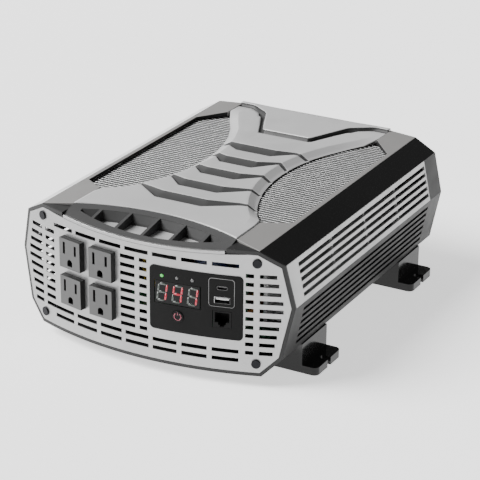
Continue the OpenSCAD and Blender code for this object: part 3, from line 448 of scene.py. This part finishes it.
# The rear lip of each band across the cover, in mm from the side of the front:
# left tip, depth of the straight middle, its half width, right knee, right end
BANDS = (
    ((-54.0, 62.0), 41.1, 21.9, (45.3, 58.8), (58.8, 61.5)),
    ((-43.0, 93.0), 73.6, 18.3, (36.1, 90.5), (44.5, 93.0)),
    ((-39.0, 125.5), 107.6, 16.3, (30.6, 124.0), (38.5, 124.5)),
    ((-38.0, 159.5), 139.8, 15.6, (28.6, 158.5), (38.5, 155.5)),
    ((-44.0, 188.0), 172.7, 16.9, (29.0, 186.5), (42.5, 187.0)),
)
BAND_MIDDLE = -3.9                   # x of the middle of the straight parts, in mm
GROOVE_WIDTH = 13.0 * MM             # from a lip to the next band, over the straight middle
GROOVE_DEPTH = 2.8 * MM
CROWN_RISE = 1.2 * MM                # how far the front edge of a band stands above the cover's top
CREST = ((24.0, 228.5), (42.5, 271.0), (62.0, 284.5))  # half of the crest's front edge, in mm as above
CHAMFER = 9 * MM                     # width of the strip that falls towards a grille
CHAMFER_DROP = 4.4 * MM
LIP = 1.3 * MM                       # level strip left along a grille


def front_arc(x):
    return SCOOP_AXIS + math.sqrt(SCOOP_RADIUS ** 2 - x * x) + 0.15 * MM


def lip_points(index):
    tip, depth, half, knee, end = BANDS[index]
    points = (tip, (BAND_MIDDLE - half, depth), (BAND_MIDDLE + half, depth), knee, end)
    return [(x * MM, SIDE_FRONT + y * MM) for x, y in points]


def lip_line(index):
    """The depth of a band's rear lip as a function of x."""
    points = lip_points(index)
    return lambda x: polyline(points, x)


def groove_share(index, x):
    """The share of a groove's full width and depth at x: all in the middle, little at its ends."""
    tip, left, right, knee, end = lip_points(index)
    shares = ((tip[0], 0.06), (left[0], 1.0), (right[0], 1.0), (knee[0], 0.36), (end[0], 0.2))
    return polyline(shares, x)


def crown_line(index):
    """The depth of the front edge of the band behind a groove."""
    line = lip_line(index)
    return lambda x: line(x) + 0.9 * MM + GROOVE_WIDTH * groove_share(index, x)


def crown_rise(index, x):
    """The rise of a band's front edge at x; it fades outwards from the straight middle."""
    tip, left, right, knee = lip_points(index)[:4]
    return CROWN_RISE * polyline(((tip[0], 0.0), (left[0], 1.0), (right[0], 1.0), (knee[0], 0.1)), x)


def crest_line(x):
    points = [(a * MM, SIDE_FRONT + b * MM) for a, b in CREST]
    return min(REAR - 0.3 * MM, polyline(points, abs(x)))


def crest_valley(x):
    """Foot of the slope in front of the crest, kept an even width around its corners."""
    slope = 1.96 if 24 * MM < abs(x) < 48 * MM else 0.7 if abs(x) > 48 * MM else 0.0
    return crest_line(x) - 4.2 * MM * math.hypot(1, slope)


def chamfer_drop(x, y):
    """How far the cover falls towards its grilles."""
    inside = cover_half(y) - abs(x)
    fade = smooth_step(y, TOP_MIDDLE - WAIST_SPAN - 4 * MM, TOP_MIDDLE - WAIST_SPAN + 24 * MM)
    fade *= 1 - smooth_step(y, TOP_MIDDLE + WAIST_SPAN - 16 * MM, TOP_MIDDLE + WAIST_SPAN + 4 * MM)
    return CHAMFER_DROP * fade * (1 - min(1.0, max(0.0, (inside - LIP) / (CHAMFER - LIP))))


def cover_rows():
    """Rows of the cover from front to rear.

    Each is a depth and a height below the cover's top, both as functions of x, and whether the strip up to it
    is the wall or floor of a groove, which takes painted shade.
    """
    rows = []
    count = len(BANDS)
    starts = [front_arc] + [crown_line(i) for i in range(count)]
    ends = [lip_line(i) for i in range(count)] + [crest_valley]

    def between(a, b, t):
        return lambda x: a(x) + (b(x) - a(x)) * t

    def moved(line, dy):
        return lambda x: line(x) + dy

    for band, (start, end) in enumerate(zip(starts, ends)):
        last = band == count
        rise = (lambda x: 0.0) if band == 0 else (lambda x, i=band - 1: crown_rise(i, x))
        fall_end = 1.2 * MM if last else 0.2 * MM
        for t in (0, 0.03, 0.1, 0.25, 0.45, 0.65, 0.82, 0.95, 1.0):
            height = lambda x, r=rise, e=fall_end, t=t: e * t - r(x) * (1 - t)
            rows.append((between(start, end, t), height, False))
        if last:
            continue
        floor = lambda x, i=band: GROOVE_DEPTH * groove_share(i, x) ** 0.5
        crown = crown_line(band)
        rows.append((moved(end, 0.3 * MM), lambda x: 0.5 * MM, False))
        rows.append((moved(end, 0.8 * MM), floor, True))
        rows.append((between(moved(end, 0.8 * MM), crown, 0.45), floor, True))
        rows.append((between(moved(end, 0.8 * MM), crown, 0.95),
                     lambda x, i=band: 0.3 * MM - crown_rise(i, x), True))
    valley = lambda x: 2.6 * MM * smooth_step(REAR - crest_line(x), 0.2 * MM, 6 * MM) + 0.4 * MM
    raised = lambda x: -1.3 * MM * smooth_step(REAR - crest_line(x), 0.2 * MM, 4 * MM)
    rows.append((between(crest_valley, crest_line, 0.12), valley, True))
    rows.append((between(crest_valley, crest_line, 0.86), valley, True))
    rows.append((crest_line, lambda x: raised(x) + 0.35 * MM, True))
    for t in (0.03, 0.1, 0.3, 0.6, 0.93):
        rows.append((between(crest_line, lambda x: REAR, t), raised, False))
    rows.append((lambda x: REAR, lambda x: raised(x) + 0.5 * MM, False))
    return rows


def build_cover():
    """The sculpted cover: bands parted by grooves, chamfered sides and a raised crest, as one moulded sheet,
    with painted shade in its grooves.
    """
    half = [0, 4, 8, 12, 14, 16, 18, 20, 22, 24, 26, 28, 30, 33, 36, 39, 42, 45, 48, 52, 56, 60, 64, 68]
    inner = [v / half[-1] for v in half]
    outer = [0.05, 0.3, 0.6, 0.84, 1.0]

    def across(column, y):
        """x of a column: evenly over the middle, then down the chamfer, then along the lip."""
        side, kind, t = column
        wide = cover_half(y)
        if kind == "top":
            return side * t * (wide - CHAMFER)
        return side * (wide - CHAMFER + t * CHAMFER)

    right = [(1, "top", t) for t in inner] + [(1, "edge", t) for t in outer]
    columns = [(-1, k, t) for _, k, t in reversed(right[1:])] + right
    settling = 14                    # passes that bring a column's x and its depth into line
    rows = []
    walls = []
    for line, fall, is_wall in cover_rows():
        walls.append(is_wall)
        row = []
        for column in columns:
            y = line(0)
            for _ in range(settling):
                x = across(column, y)
                y = line(x)
            x = across(column, y)
            row.append((x, y, COVER_TOP - fall(x) - chamfer_drop(x, y)))
        rows.append(row)
    bm = bmesh.new()
    grid_faces(bm, rows, walls)
    bmesh.ops.remove_doubles(bm, verts=bm.verts, dist=0.01 * MM)
    close_below(bm, cover_low.z)
    # the groove walls and floors, which take the painted shade
    dark = {face.index for face in bm.faces if face.material_index}
    add_piece(bm, "top_cover_sculpted", "silver_cover", stands_for=("top_cover", "cover_crest"),
              second="cover_wall", picks=lambda face: face.index in dark)


# ---------------------------------------------------------------- grilles
GRILLE_LEVEL = 114.7 * MM
RIB_PITCH = 4.2 * MM
RIB_HEIGHT = 0.6 * MM
GRILLE_HALF_LONG = 92 * MM + LEDGE   # half length of a grille's straight outer edge


def grille_outer(y):
    """Outer edge of a grille at depth y, with its slanted ends."""
    outer = RECESS[1].x
    away = abs(y - STRAIGHT_MIDDLE)
    if away <= GRILLE_HALF_LONG:
        return outer
    end = TOP_MIDDLE + math.copysign(WAIST_SPAN + LEDGE, y - STRAIGHT_MIDDLE)
    t = (away - GRILLE_HALF_LONG) / (abs(end - STRAIGHT_MIDDLE) - GRILLE_HALF_LONG)
    return outer + (SEAM_X - outer) * min(1.0, t)


def build_grille(side, node):
    """Fine ribs with gaps between them in painted shade, one gap and one rib to every pitch."""
    rows, gaps = [], []
    # share of a pitch, share of a rib's height, and whether the strip up to there is a gap in painted shade
    profile = ((0.0, 0.0, True), (0.5, 0.0, True), (0.54, 0.7, True), (0.6, 1.0, False), (0.9, 1.0, False),
               (0.96, 0.7, False))
    steps = 18
    count = int((RECESS[1].y - RECESS[0].y) / RIB_PITCH)
    for rib in range(count):
        for share, height, is_gap in profile:
            y = RECESS[0].y + 0.2 * MM + (rib + share) * RIB_PITCH
            arc = math.sqrt(max(0.0, (WAIST_RADIUS + LEDGE) ** 2 - (y - TOP_MIDDLE) ** 2))
            inner = WAIST_X + WAIST_RADIUS - arc
            outer = max(grille_outer(y), inner + 0.1 * MM)
            level = GRILLE_LEVEL + RIB_HEIGHT * height
            rows.append([(side * (inner + (outer - inner) * i / steps), y, level) for i in range(steps + 1)])
            gaps.append(is_gap)
    bm = bmesh.new()
    grid_faces(bm, rows, gaps)
    # the gaps, which take the painted shade
    dark = {face.index for face in bm.faces if face.material_index}
    close_below(bm, RECESS[0].z)
    add_piece(bm, node + "_ribbed", "grille_mesh", stands_for=(node,), weighted=False,
              second="grille_gap", picks=lambda face: face.index in dark)


# ---------------------------------------------------------------- air scoop
LIP_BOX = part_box("top_lip")
SCOOP_REAR_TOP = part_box("vent_scoop")[1].z
SHELF_TOP = LIP_BOX[0].z + 1.4 * MM
SCOOP_FRONT_RADIUS = PLATE_RADIUS - 3.1 * MM
DIP_HALF = 100.5 * MM
DIP = 5.4 * MM                       # how far the lip's middle lies below its ends
DIP_RADIUS = (DIP_HALF ** 2 + DIP ** 2) / (2 * DIP)
POCKET_HALF = 71 * MM
POCKET_SAG = 14.2 * MM
POCKET_RADIUS = (POCKET_HALF ** 2 + POCKET_SAG ** 2) / (2 * POCKET_SAG)
POCKET_FRONT = SIDE_FRONT - 22.5 * MM
SCOOP_BAND = 7 * MM                  # from the pockets to the rear edge
VANE_PITCH = 25.4 * MM
LIP_LOW = LIP_BOX[0].z + 2.6 * MM    # the lip's lower edge at the middle of the front


def lip_top(x):
    """Height of the silver lip's upper edge at x."""
    return LIP_LOW + 2.8 * MM + DIP_RADIUS - math.sqrt(DIP_RADIUS ** 2 - x * x)


def scoop_front(x):
    return bow_y(x, SCOOP_FRONT_RADIUS)


def scoop_rear(x):
    return SCOOP_AXIS + math.sqrt((SCOOP_RADIUS - 0.1 * MM) ** 2 - x * x)


def scoop_top(x, y):
    """The height of the scoop's top, which slopes from the lip up to the edge of the cover."""
    near, deep = scoop_front(x), scoop_rear(x)
    t = min(1.0, max(0.0, (y - near) / max(deep - near, 1 * MM)))
    return lip_top(x) + (SCOOP_REAR_TOP - lip_top(x)) * t ** 0.9


def pocket_front(x):
    return POCKET_FRONT + POCKET_RADIUS - math.sqrt(POCKET_RADIUS ** 2 - x * x)


def pocket_rear(x):
    return SCOOP_AXIS + math.sqrt((SCOOP_RADIUS - SCOOP_BAND) ** 2 - x * x)


def build_scoop():
    """A dark lens between lip and cover with six air pockets, parted by tapered vanes."""
    half_count = 38
    bm = bmesh.new()
    rows = []
    for t in (0, 0.03, 0.1, 0.25, 0.5, 0.75, 0.93, 1.0):
        row = []
        for i in range(-half_count, half_count + 1):
            x = i / half_count * SEAM_X
            y = scoop_front(x) + (scoop_rear(x) - scoop_front(x)) * t
            row.append((x, y, scoop_top(x, y)))
        rows.append(row)
    grid_faces(bm, rows)
    close_below(bm, SHELF_TOP + 0.1 * MM)
    obj = add_piece(bm, "vent_scoop_pocketed", "scoop_grey", stands_for=("vent_scoop",))
    cutters = bmesh.new()
    vane = 1.2 * MM                  # half the thickness of a vane
    edges = [-POCKET_HALF + 5 * MM] + [i * VANE_PITCH for i in range(-2, 3)] + [POCKET_HALF - 5 * MM]
    for left, right in zip(edges, edges[1:]):
        a = left + (vane if left > edges[0] else 0)
        b = right - (vane if right < edges[-1] else 0)
        rings = []
        for z, rear_in, side_in in (
                (SCOOP_REAR_TOP + 5 * MM, -1.5 * MM, -0.5 * MM),
                (SCOOP_REAR_TOP - 2 * MM, 0.6 * MM, 0.1 * MM),
                (SHELF_TOP + 3 * MM, 3.4 * MM, 0.3 * MM),
                (SHELF_TOP + 0.9 * MM, 4.0 * MM, 0.5 * MM)):
            xs = [a + side_in + (b - a - 2 * side_in) * i / 8 for i in range(9)]
            near = [(x, pocket_front(x), z) for x in xs]
            deep = []
            for x in reversed(xs):
                y = max(pocket_rear(x) - rear_in, pocket_front(x) + 0.8 * MM)
                deep.append((x, y, z))
            rings.append([cutters.verts.new(p) for p in near + deep])
        for low, high in zip(rings[1:], rings):
            for i in range(len(low)):
                j = (i + 1) % len(low)
                cutters.faces.new((low[i], low[j], high[j], high[i]))
        cutters.faces.new(rings[0])
        cutters.faces.new(list(reversed(rings[-1])))
    bmesh.ops.recalc_face_normals(cutters, faces=cutters.faces)
    subtract(obj, cutters)
    paint_pockets(obj)


def paint_pockets(obj):
    """Painted shade on the walls of the scoop's pockets, and pale silver with painted light on their floors."""
    wall, floor = 1, 2
    obj.data.materials.append(MATERIALS["cover_wall"])
    obj.data.materials.append(MATERIALS["shelf_silver"])
    for face in obj.data.polygons:
        x, y, z = face.center
        if abs(x) >= POCKET_HALF or not pocket_front(x) - 1 * MM < y < pocket_rear(x) + 2 * MM:
            continue
        # walls take painted shade, floors painted light
        if face.normal.z < 0.6 and z > SHELF_TOP + 0.5 * MM:
            face.material_index = wall
        elif face.normal.z > 0.9 and z < SHELF_TOP + 1.5 * MM:
            face.material_index = floor


def subtract(obj, cutter_mesh):
    """Cuts the shapes in a mesh out of a piece and keeps the result as its mesh."""
    mesh = bpy.data.meshes.new("cutter")
    cutter_mesh.to_mesh(mesh)
    cutter_mesh.free()
    tool = bpy.data.objects.new("cutter", mesh)
    bpy.context.scene.collection.objects.link(tool)
    cut = obj.modifiers.new("cut", "BOOLEAN")
    cut.operation = "DIFFERENCE"
    cut.object = tool
    cut.solver = "EXACT"
    obj.modifiers.move(len(obj.modifiers) - 1, 0)
    bpy.context.view_layer.update()
    evaluated = obj.evaluated_get(bpy.context.evaluated_depsgraph_get())
    result = bpy.data.meshes.new_from_object(evaluated)
    obj.modifiers.clear()
    obj.data = result
    rounded = obj.modifiers.new("soft edges", "BEVEL")
    rounded.width = 0.35 * MM
    rounded.segments = 2
    rounded.limit_method = "ANGLE"
    rounded.angle_limit = math.radians(35)
    normals = obj.modifiers.new("even flats", "WEIGHTED_NORMAL")
    normals.keep_sharp = True
    bpy.data.objects.remove(tool)


# ---------------------------------------------------------------- display, lamps and markings
def plate_matrix(x, z, out=0.0):
    """Local axes on the plate at x: x along it, y into it, z up, standing out by out."""
    turn = math.asin(x / PLATE_RADIUS)
    place = Vector((math.sin(turn), -math.cos(turn), 0)) * (PLATE_RADIUS + out) + Vector((0, BOW_AXIS, z))
    return Matrix.Translation(place) @ Matrix.Rotation(turn, 4, "Z")


def centre_of(node):
    low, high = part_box(node)
    return (low + high) / 2


def prism(bm, outline, depth, matrix):
    """A flat shape in local x and z, with this depth behind its face."""
    front = [bm.verts.new(matrix @ Vector((x, 0, z))) for x, z in outline]
    back = [bm.verts.new(matrix @ Vector((x, depth, z))) for x, z in outline]
    bm.faces.new(front)
    bm.faces.new(list(reversed(back)))
    for i in range(len(outline)):
        j = (i + 1) % len(outline)
        bm.faces.new((front[i], back[i], back[j], front[j]))


SEGMENTS = {"1": "bc", "4": "bcfg", "8": "abcdefg"}
READING = "141"


def build_digits():
    """Three leaning seven-bar figures on the window, with the bars of the reading lit."""
    low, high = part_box("display_digits")
    x_mid, z_mid = (low.x + high.x) / 2, (low.z + high.z) / 2
    pitch, half_w, half_h, thick, lean = 13.2 * MM, 3.5 * MM, 7.1 * MM, 1.6 * MM, 0.13
    gap = 0.2 * MM
    bars = {}
    for key, z in (("a", half_h), ("g", 0), ("d", -half_h)):
        w, t = half_w - gap, thick / 2
        bars[key] = [(-w, z), (-w + t, z + t), (w - t, z + t), (w, z), (w - t, z - t), (-w + t, z - t)]
    for key, x, z0, z1 in (("f", -half_w, 0, half_h), ("b", half_w, 0, half_h),
                           ("e", -half_w, -half_h, 0), ("c", half_w, -half_h, 0)):
        t = thick / 2
        z0, z1 = z0 + gap, z1 - gap
        bars[key] = [(x, z0), (x + t, z0 + t), (x + t, z1 - t), (x, z1), (x - t, z1 - t), (x - t, z0 + t)]
    matrix = plate_matrix(x_mid, z_mid, 0.45 * MM)
    lit, unlit = bmesh.new(), bmesh.new()
    for place, figure in enumerate(READING):
        for key, outline in bars.items():
            target = lit if key in SEGMENTS[figure] else unlit
            leaning = [(x + z * lean + (place - 1) * pitch, z) for x, z in outline]
            prism(target, leaning, 0.15 * MM, matrix)
    add_piece(lit, "display_bars_lit", "segment_lit", stands_for=("display_digits",), weighted=False)
    add_piece(unlit, "display_bars_unlit", "segment_unlit", weighted=False)


def lens(bm, x, z, radius, out, sides=24):
    """A small domed lens standing out of the panel."""
    matrix = plate_matrix(x, z)
    rings = []
    for r, y in ((radius, 2 * MM), (radius, -out * 0.3), (radius * 0.85, -out * 0.75),
                 (radius * 0.5, -out * 0.95)):
        turns = [a * math.pi / (sides // 2) for a in range(sides)]
        points = [(r * math.cos(turn), y, r * math.sin(turn)) for turn in turns]
        rings.append([bm.verts.new(matrix @ Vector(p)) for p in points])
    for near, far in zip(rings, rings[1:]):
        for i in range(sides):
            j = (i + 1) % sides
            bm.faces.new((near[i], near[j], far[j], far[i]))
    bm.faces.new(rings[-1])
    bm.faces.new(list(reversed(rings[0])))


def build_lamps():
    """Three small lamps in a row, the first of them lit."""
    low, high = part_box("indicator_lights")
    x_mid, z_mid = (low.x + high.x) / 2, (low.z + high.z) / 2
    pitch = 13 * MM
    lit, unlit = bmesh.new(), bmesh.new()
    for i in (-1, 0, 1):
        lens(lit if i < 0 else unlit, x_mid + i * pitch, z_mid, 1.5 * MM, 1.1 * MM)
    add_piece(lit, "indicator_lit", "lamp_lit", stands_for=("indicator_lights",))
    add_piece(unlit, "indicator_unlit", "lamp_unlit")


def arc_band(bm, radius, width, start, stop, depth, matrix, count=28):
    """A flat ring or part of one, standing on a face."""
    angles = [start + (stop - start) * i / count for i in range(count + 1)]
    for a, b in zip(angles, angles[1:]):
        outline = [((radius + o) * math.sin(t), (radius + o) * math.cos(t))
                   for o, t in ((width / 2, a), (width / 2, b), (-width / 2, b), (-width / 2, a))]
        prism(bm, outline, depth, matrix)
    bmesh.ops.remove_doubles(bm, verts=bm.verts, dist=0.005 * MM)


def build_button_mark():
    """A dark red power ring on the face of the button, which moves with it."""
    low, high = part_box("power_button")
    matrix = plate_matrix(BUTTON_X, (low.z + high.z) / 2, 1.78 * MM)
    bm = bmesh.new()
    arc_band(bm, 3.0 * MM, 0.8 * MM, math.radians(32), math.radians(328), 0.12 * MM, matrix)
    prism(bm, [(-0.35 * MM, 1.2 * MM), (-0.35 * MM, 3.6 * MM), (0.35 * MM, 3.6 * MM), (0.35 * MM, 1.2 * MM)],
          0.12 * MM, matrix)
    add_piece(bm, "power_button_ring", "ring_red", body="power_button", weighted=False)


def build_port_frame():
    """The thin printed line around the two USB ports."""
    c = centre_of("usb_c_port")
    a = centre_of("usb_a_port")
    half_w, half_h, corner, line = 10.7 * MM, 12.3 * MM, 2.6 * MM, 0.45 * MM
    x_mid, z_mid = along_plate("usb_a_port", 6.6 * MM) - 0.7 * MM, (a.z + c.z) / 2 + 1.2 * MM
    matrix = plate_matrix(x_mid, z_mid, 0.86 * MM)
    points = []
    for sx, sz, start in ((1, 1, 0), (1, -1, 90), (-1, -1, 180), (-1, 1, 270)):
        for i in range(7):
            t = math.radians(start + 15 * i)
            points.append((sx * (half_w - corner), sz * (half_h - corner), math.sin(t), math.cos(t)))
    bm = bmesh.new()
    for i in range(len(points)):
        p, q = points[i], points[(i + 1) % len(points)]
        outline = [(p[0] + p[2] * corner, p[1] + p[3] * corner),
                   (q[0] + q[2] * corner, q[1] + q[3] * corner),
                   (q[0] + q[2] * (corner - line), q[1] + q[3] * (corner - line)),
                   (p[0] + p[2] * (corner - line), p[1] + p[3] * (corner - line))]
        prism(bm, outline, 0.05 * MM, matrix)
    bmesh.ops.remove_doubles(bm, verts=bm.verts, dist=0.005 * MM)
    add_piece(bm, "port_frame_line", "ink_grey", weighted=False)


# ---------------------------------------------------------------- assembly
def faces_grille(face):
    """True for the walls of a rail that look onto its grille, which take painted shade."""
    centre, normal = face.calc_center_median(), face.normal
    away = centre.y - STRAIGHT_MIDDLE
    beside = SEAM_X + 0.5 * MM < abs(centre.x) < RECESS[1].x + 0.5 * MM
    return beside and abs(away) < WAIST_SPAN + 6 * MM and abs(normal.z) < 0.6 and normal.x * centre.x < 0


def is_tongue(face):
    """True for the faces of the tongue inside the USB-A port."""
    low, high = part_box("usb_a_port")
    centre = face.calc_center_median()
    off_middle = abs(centre.x - (low.x + high.x) / 2)
    return low.z + 2.6 * MM < centre.z < high.z - 0.7 * MM and off_middle < 5.6 * MM


def outlet_side(face):
    """True for the faces of an outlet that do not look forward, and for the insides of its holes: these take
    painted shade.
    """
    return face.normal.y > -0.75


def build_case():
    """The case, its trims and rails, and the sculpted top."""
    shaped("lower_case", 0.5 * MM)
    for node in ("left_louvre", "right_louvre"):
        shaped(node, 0.35 * MM)
    for node in ("left_trim", "right_trim"):
        shaped(node, 0.4 * MM)
    for node in ("left_top_rail", "right_top_rail"):
        # rail walls that look onto a grille take painted shade
        shaped(node, 0.5 * MM, second="grille_gap", picks=faces_grille)
    shaped("rear_collar", 0.4 * MM)
    shaped("rear_plate", 0.3 * MM)
    build_cover()
    build_grille(1, "right_grille")
    build_grille(-1, "left_grille")


def build_front():
    """The front plate and everything on it."""
    shaped("front_bezel", 1.1 * MM, bowed=True, segments=3, material="bezel_black")
    carry_over("front_plate")
    shaped("top_lip", 0.3 * MM, bowed=True)
    build_scoop()
    for row in ("upper", "lower"):
        for side in ("left", "right"):
            # the outlets' sides and holes take painted shade
            shaped(f"outlet_{row}_{side}", 0.35 * MM, segments=3, second="outlet_black", picks=outlet_side)
    shaped("control_overlay", 0.15 * MM, bowed=True)
    shaped("display_module", 0.2 * MM)
    shaped("power_button", 0.4 * MM, body="power_button", segments=3)
    shaped("usb_c_port", 0.12 * MM)
    shaped("usb_a_port", 0.12 * MM, second="tongue_white", picks=is_tongue)
    shaped("remote_jack", 0.25 * MM)
    shaped("plate_screws", 0.5 * MM, segments=3)
    build_digits()
    build_lamps()
    build_button_mark()
    build_port_frame()


def build_rest():
    """The feet, the rear and the inside."""
    for end in ("front", "rear"):
        for side in ("left", "right"):
            shaped(f"{end}_{side}_foot", 0.8 * MM, segments=3)
    for node in ("foot_screws", "fan_screws", "rear_screws", "terminal_nuts", "terminal_studs",
                 "ground_terminal"):
        shaped(node, 0.35 * MM)
    for node in ("left_fan_frame", "right_fan_frame"):
        shaped(node, 0.4 * MM)
    shaped("left_fan_rotor", 0.3 * MM, body="left_fan_rotor")
    shaped("right_fan_rotor", 0.3 * MM, body="right_fan_rotor")
    shaped("positive_terminal_base", 0.8 * MM, segments=3)
    shaped("negative_terminal_base", 0.8 * MM, segments=3)
    for node in ("left_heat_sink", "right_heat_sink", "power_transistors", "capacitors", "input_fuses",
                 "transformer_cores", "transformer_windings"):
        shaped(node, 0.4 * MM)
    for node in ("fan_guards", "outlet_contacts", "button_switch", "front_board", "main_board",
                 "board_standoffs", "output_choke"):
        carry_over(node)


def carry_over(node):
    """A CAD node whose shape is right keeps its mesh and takes a finished material."""
    mesh = frame["nodes"][node].data
    mesh.materials.clear()
    mesh.materials.append(MATERIALS[slot_of[node]])


# ---------------------------------------------------------------- studio
WORLD_LIGHT = 0.14
KEY_LIGHT = 6.2
REAR_LEFT_LIGHT = 9
FLOOR_GLOW = 1.1


def aimed(name, data, place, at=(0, 0, 0.05)):
    """A studio light at a place, turned to look at a point."""
    light = bpy.data.objects.new(name, data)
    light.location = place
    light.rotation_euler = (Vector(at) - Vector(place)).to_track_quat("-Z", "Y").to_euler()
    bpy.context.scene.collection.objects.link(light)


def build_studio():
    """A pale floor that glows a little, a wide soft key light and a weak light from the left rear."""
    floor_material = Surface("studio floor", 0.7, specular=0.2)
    floor_material.color((0.9, 0.9, 0.9), (0.93, 0.93, 0.93), size=0.4).bump(2 * MM, 0.02)
    floor_material.glow((1, 1, 1), FLOOR_GLOW)
    mesh = bpy.data.meshes.new("floor")
    size = 6.0
    corners = [(-size, -size, 0), (size, -size, 0), (size, size, 0), (-size, size, 0)]
    mesh.from_pydata(corners, [], [(0, 1, 2, 3)])
    mesh.materials.append(floor_material.material)
    floor = bpy.data.objects.new("floor", mesh)
    bpy.context.scene.collection.objects.link(floor)
    world = bpy.data.worlds.new("studio")
    world.use_nodes = True
    world.node_tree.nodes["Background"].inputs["Color"].default_value = (1, 1, 1, 1)
    world.node_tree.nodes["Background"].inputs["Strength"].default_value = WORLD_LIGHT
    bpy.context.scene.world = world
    sun = bpy.data.lights.new("key", "SUN")
    sun.angle = math.radians(35)
    sun.energy = KEY_LIGHT
    aimed("key", sun, (-1.6, -1.0, 1.9))
    sheen = bpy.data.lights.new("left_sheen", "AREA")
    sheen.size = 1.6
    sheen.energy = REAR_LEFT_LIGHT
    aimed("left_sheen", sheen, (-2.0, 1.4, 1.0))


CAMERA_PLACE = (0.74341, SIDE_FRONT - 1.23233, 0.71496)
CAMERA_TURN = (28.39, -23.06, 0.58)  # yaw, pitch and roll in degrees
CAMERA_LENS = 144.5


def build_camera():
    """A long lens, high on the right of the front."""
    yaw, pitch, roll_angle = (math.radians(a) for a in CAMERA_TURN)
    forward = Vector((-math.sin(yaw) * math.cos(pitch), math.cos(yaw) * math.cos(pitch), math.sin(pitch)))
    level_right = Vector((math.cos(yaw), math.sin(yaw), 0))
    level_up = level_right.cross(forward)
    right = math.cos(roll_angle) * level_right + math.sin(roll_angle) * level_up
    up = -math.sin(roll_angle) * level_right + math.cos(roll_angle) * level_up
    data = bpy.data.cameras.new("camera")
    data.sensor_width = 36
    data.lens = CAMERA_LENS
    data.clip_start = 0.05
    camera = bpy.data.objects.new("camera", data)
    turn = Matrix((right, up, -forward)).transposed().to_4x4()
    camera.matrix_world = Matrix.Translation(CAMERA_PLACE) @ turn
    bpy.context.scene.collection.objects.link(camera)
    bpy.context.scene.camera = camera


build_case()
build_front()
build_rest()
build_studio()
build_camera()
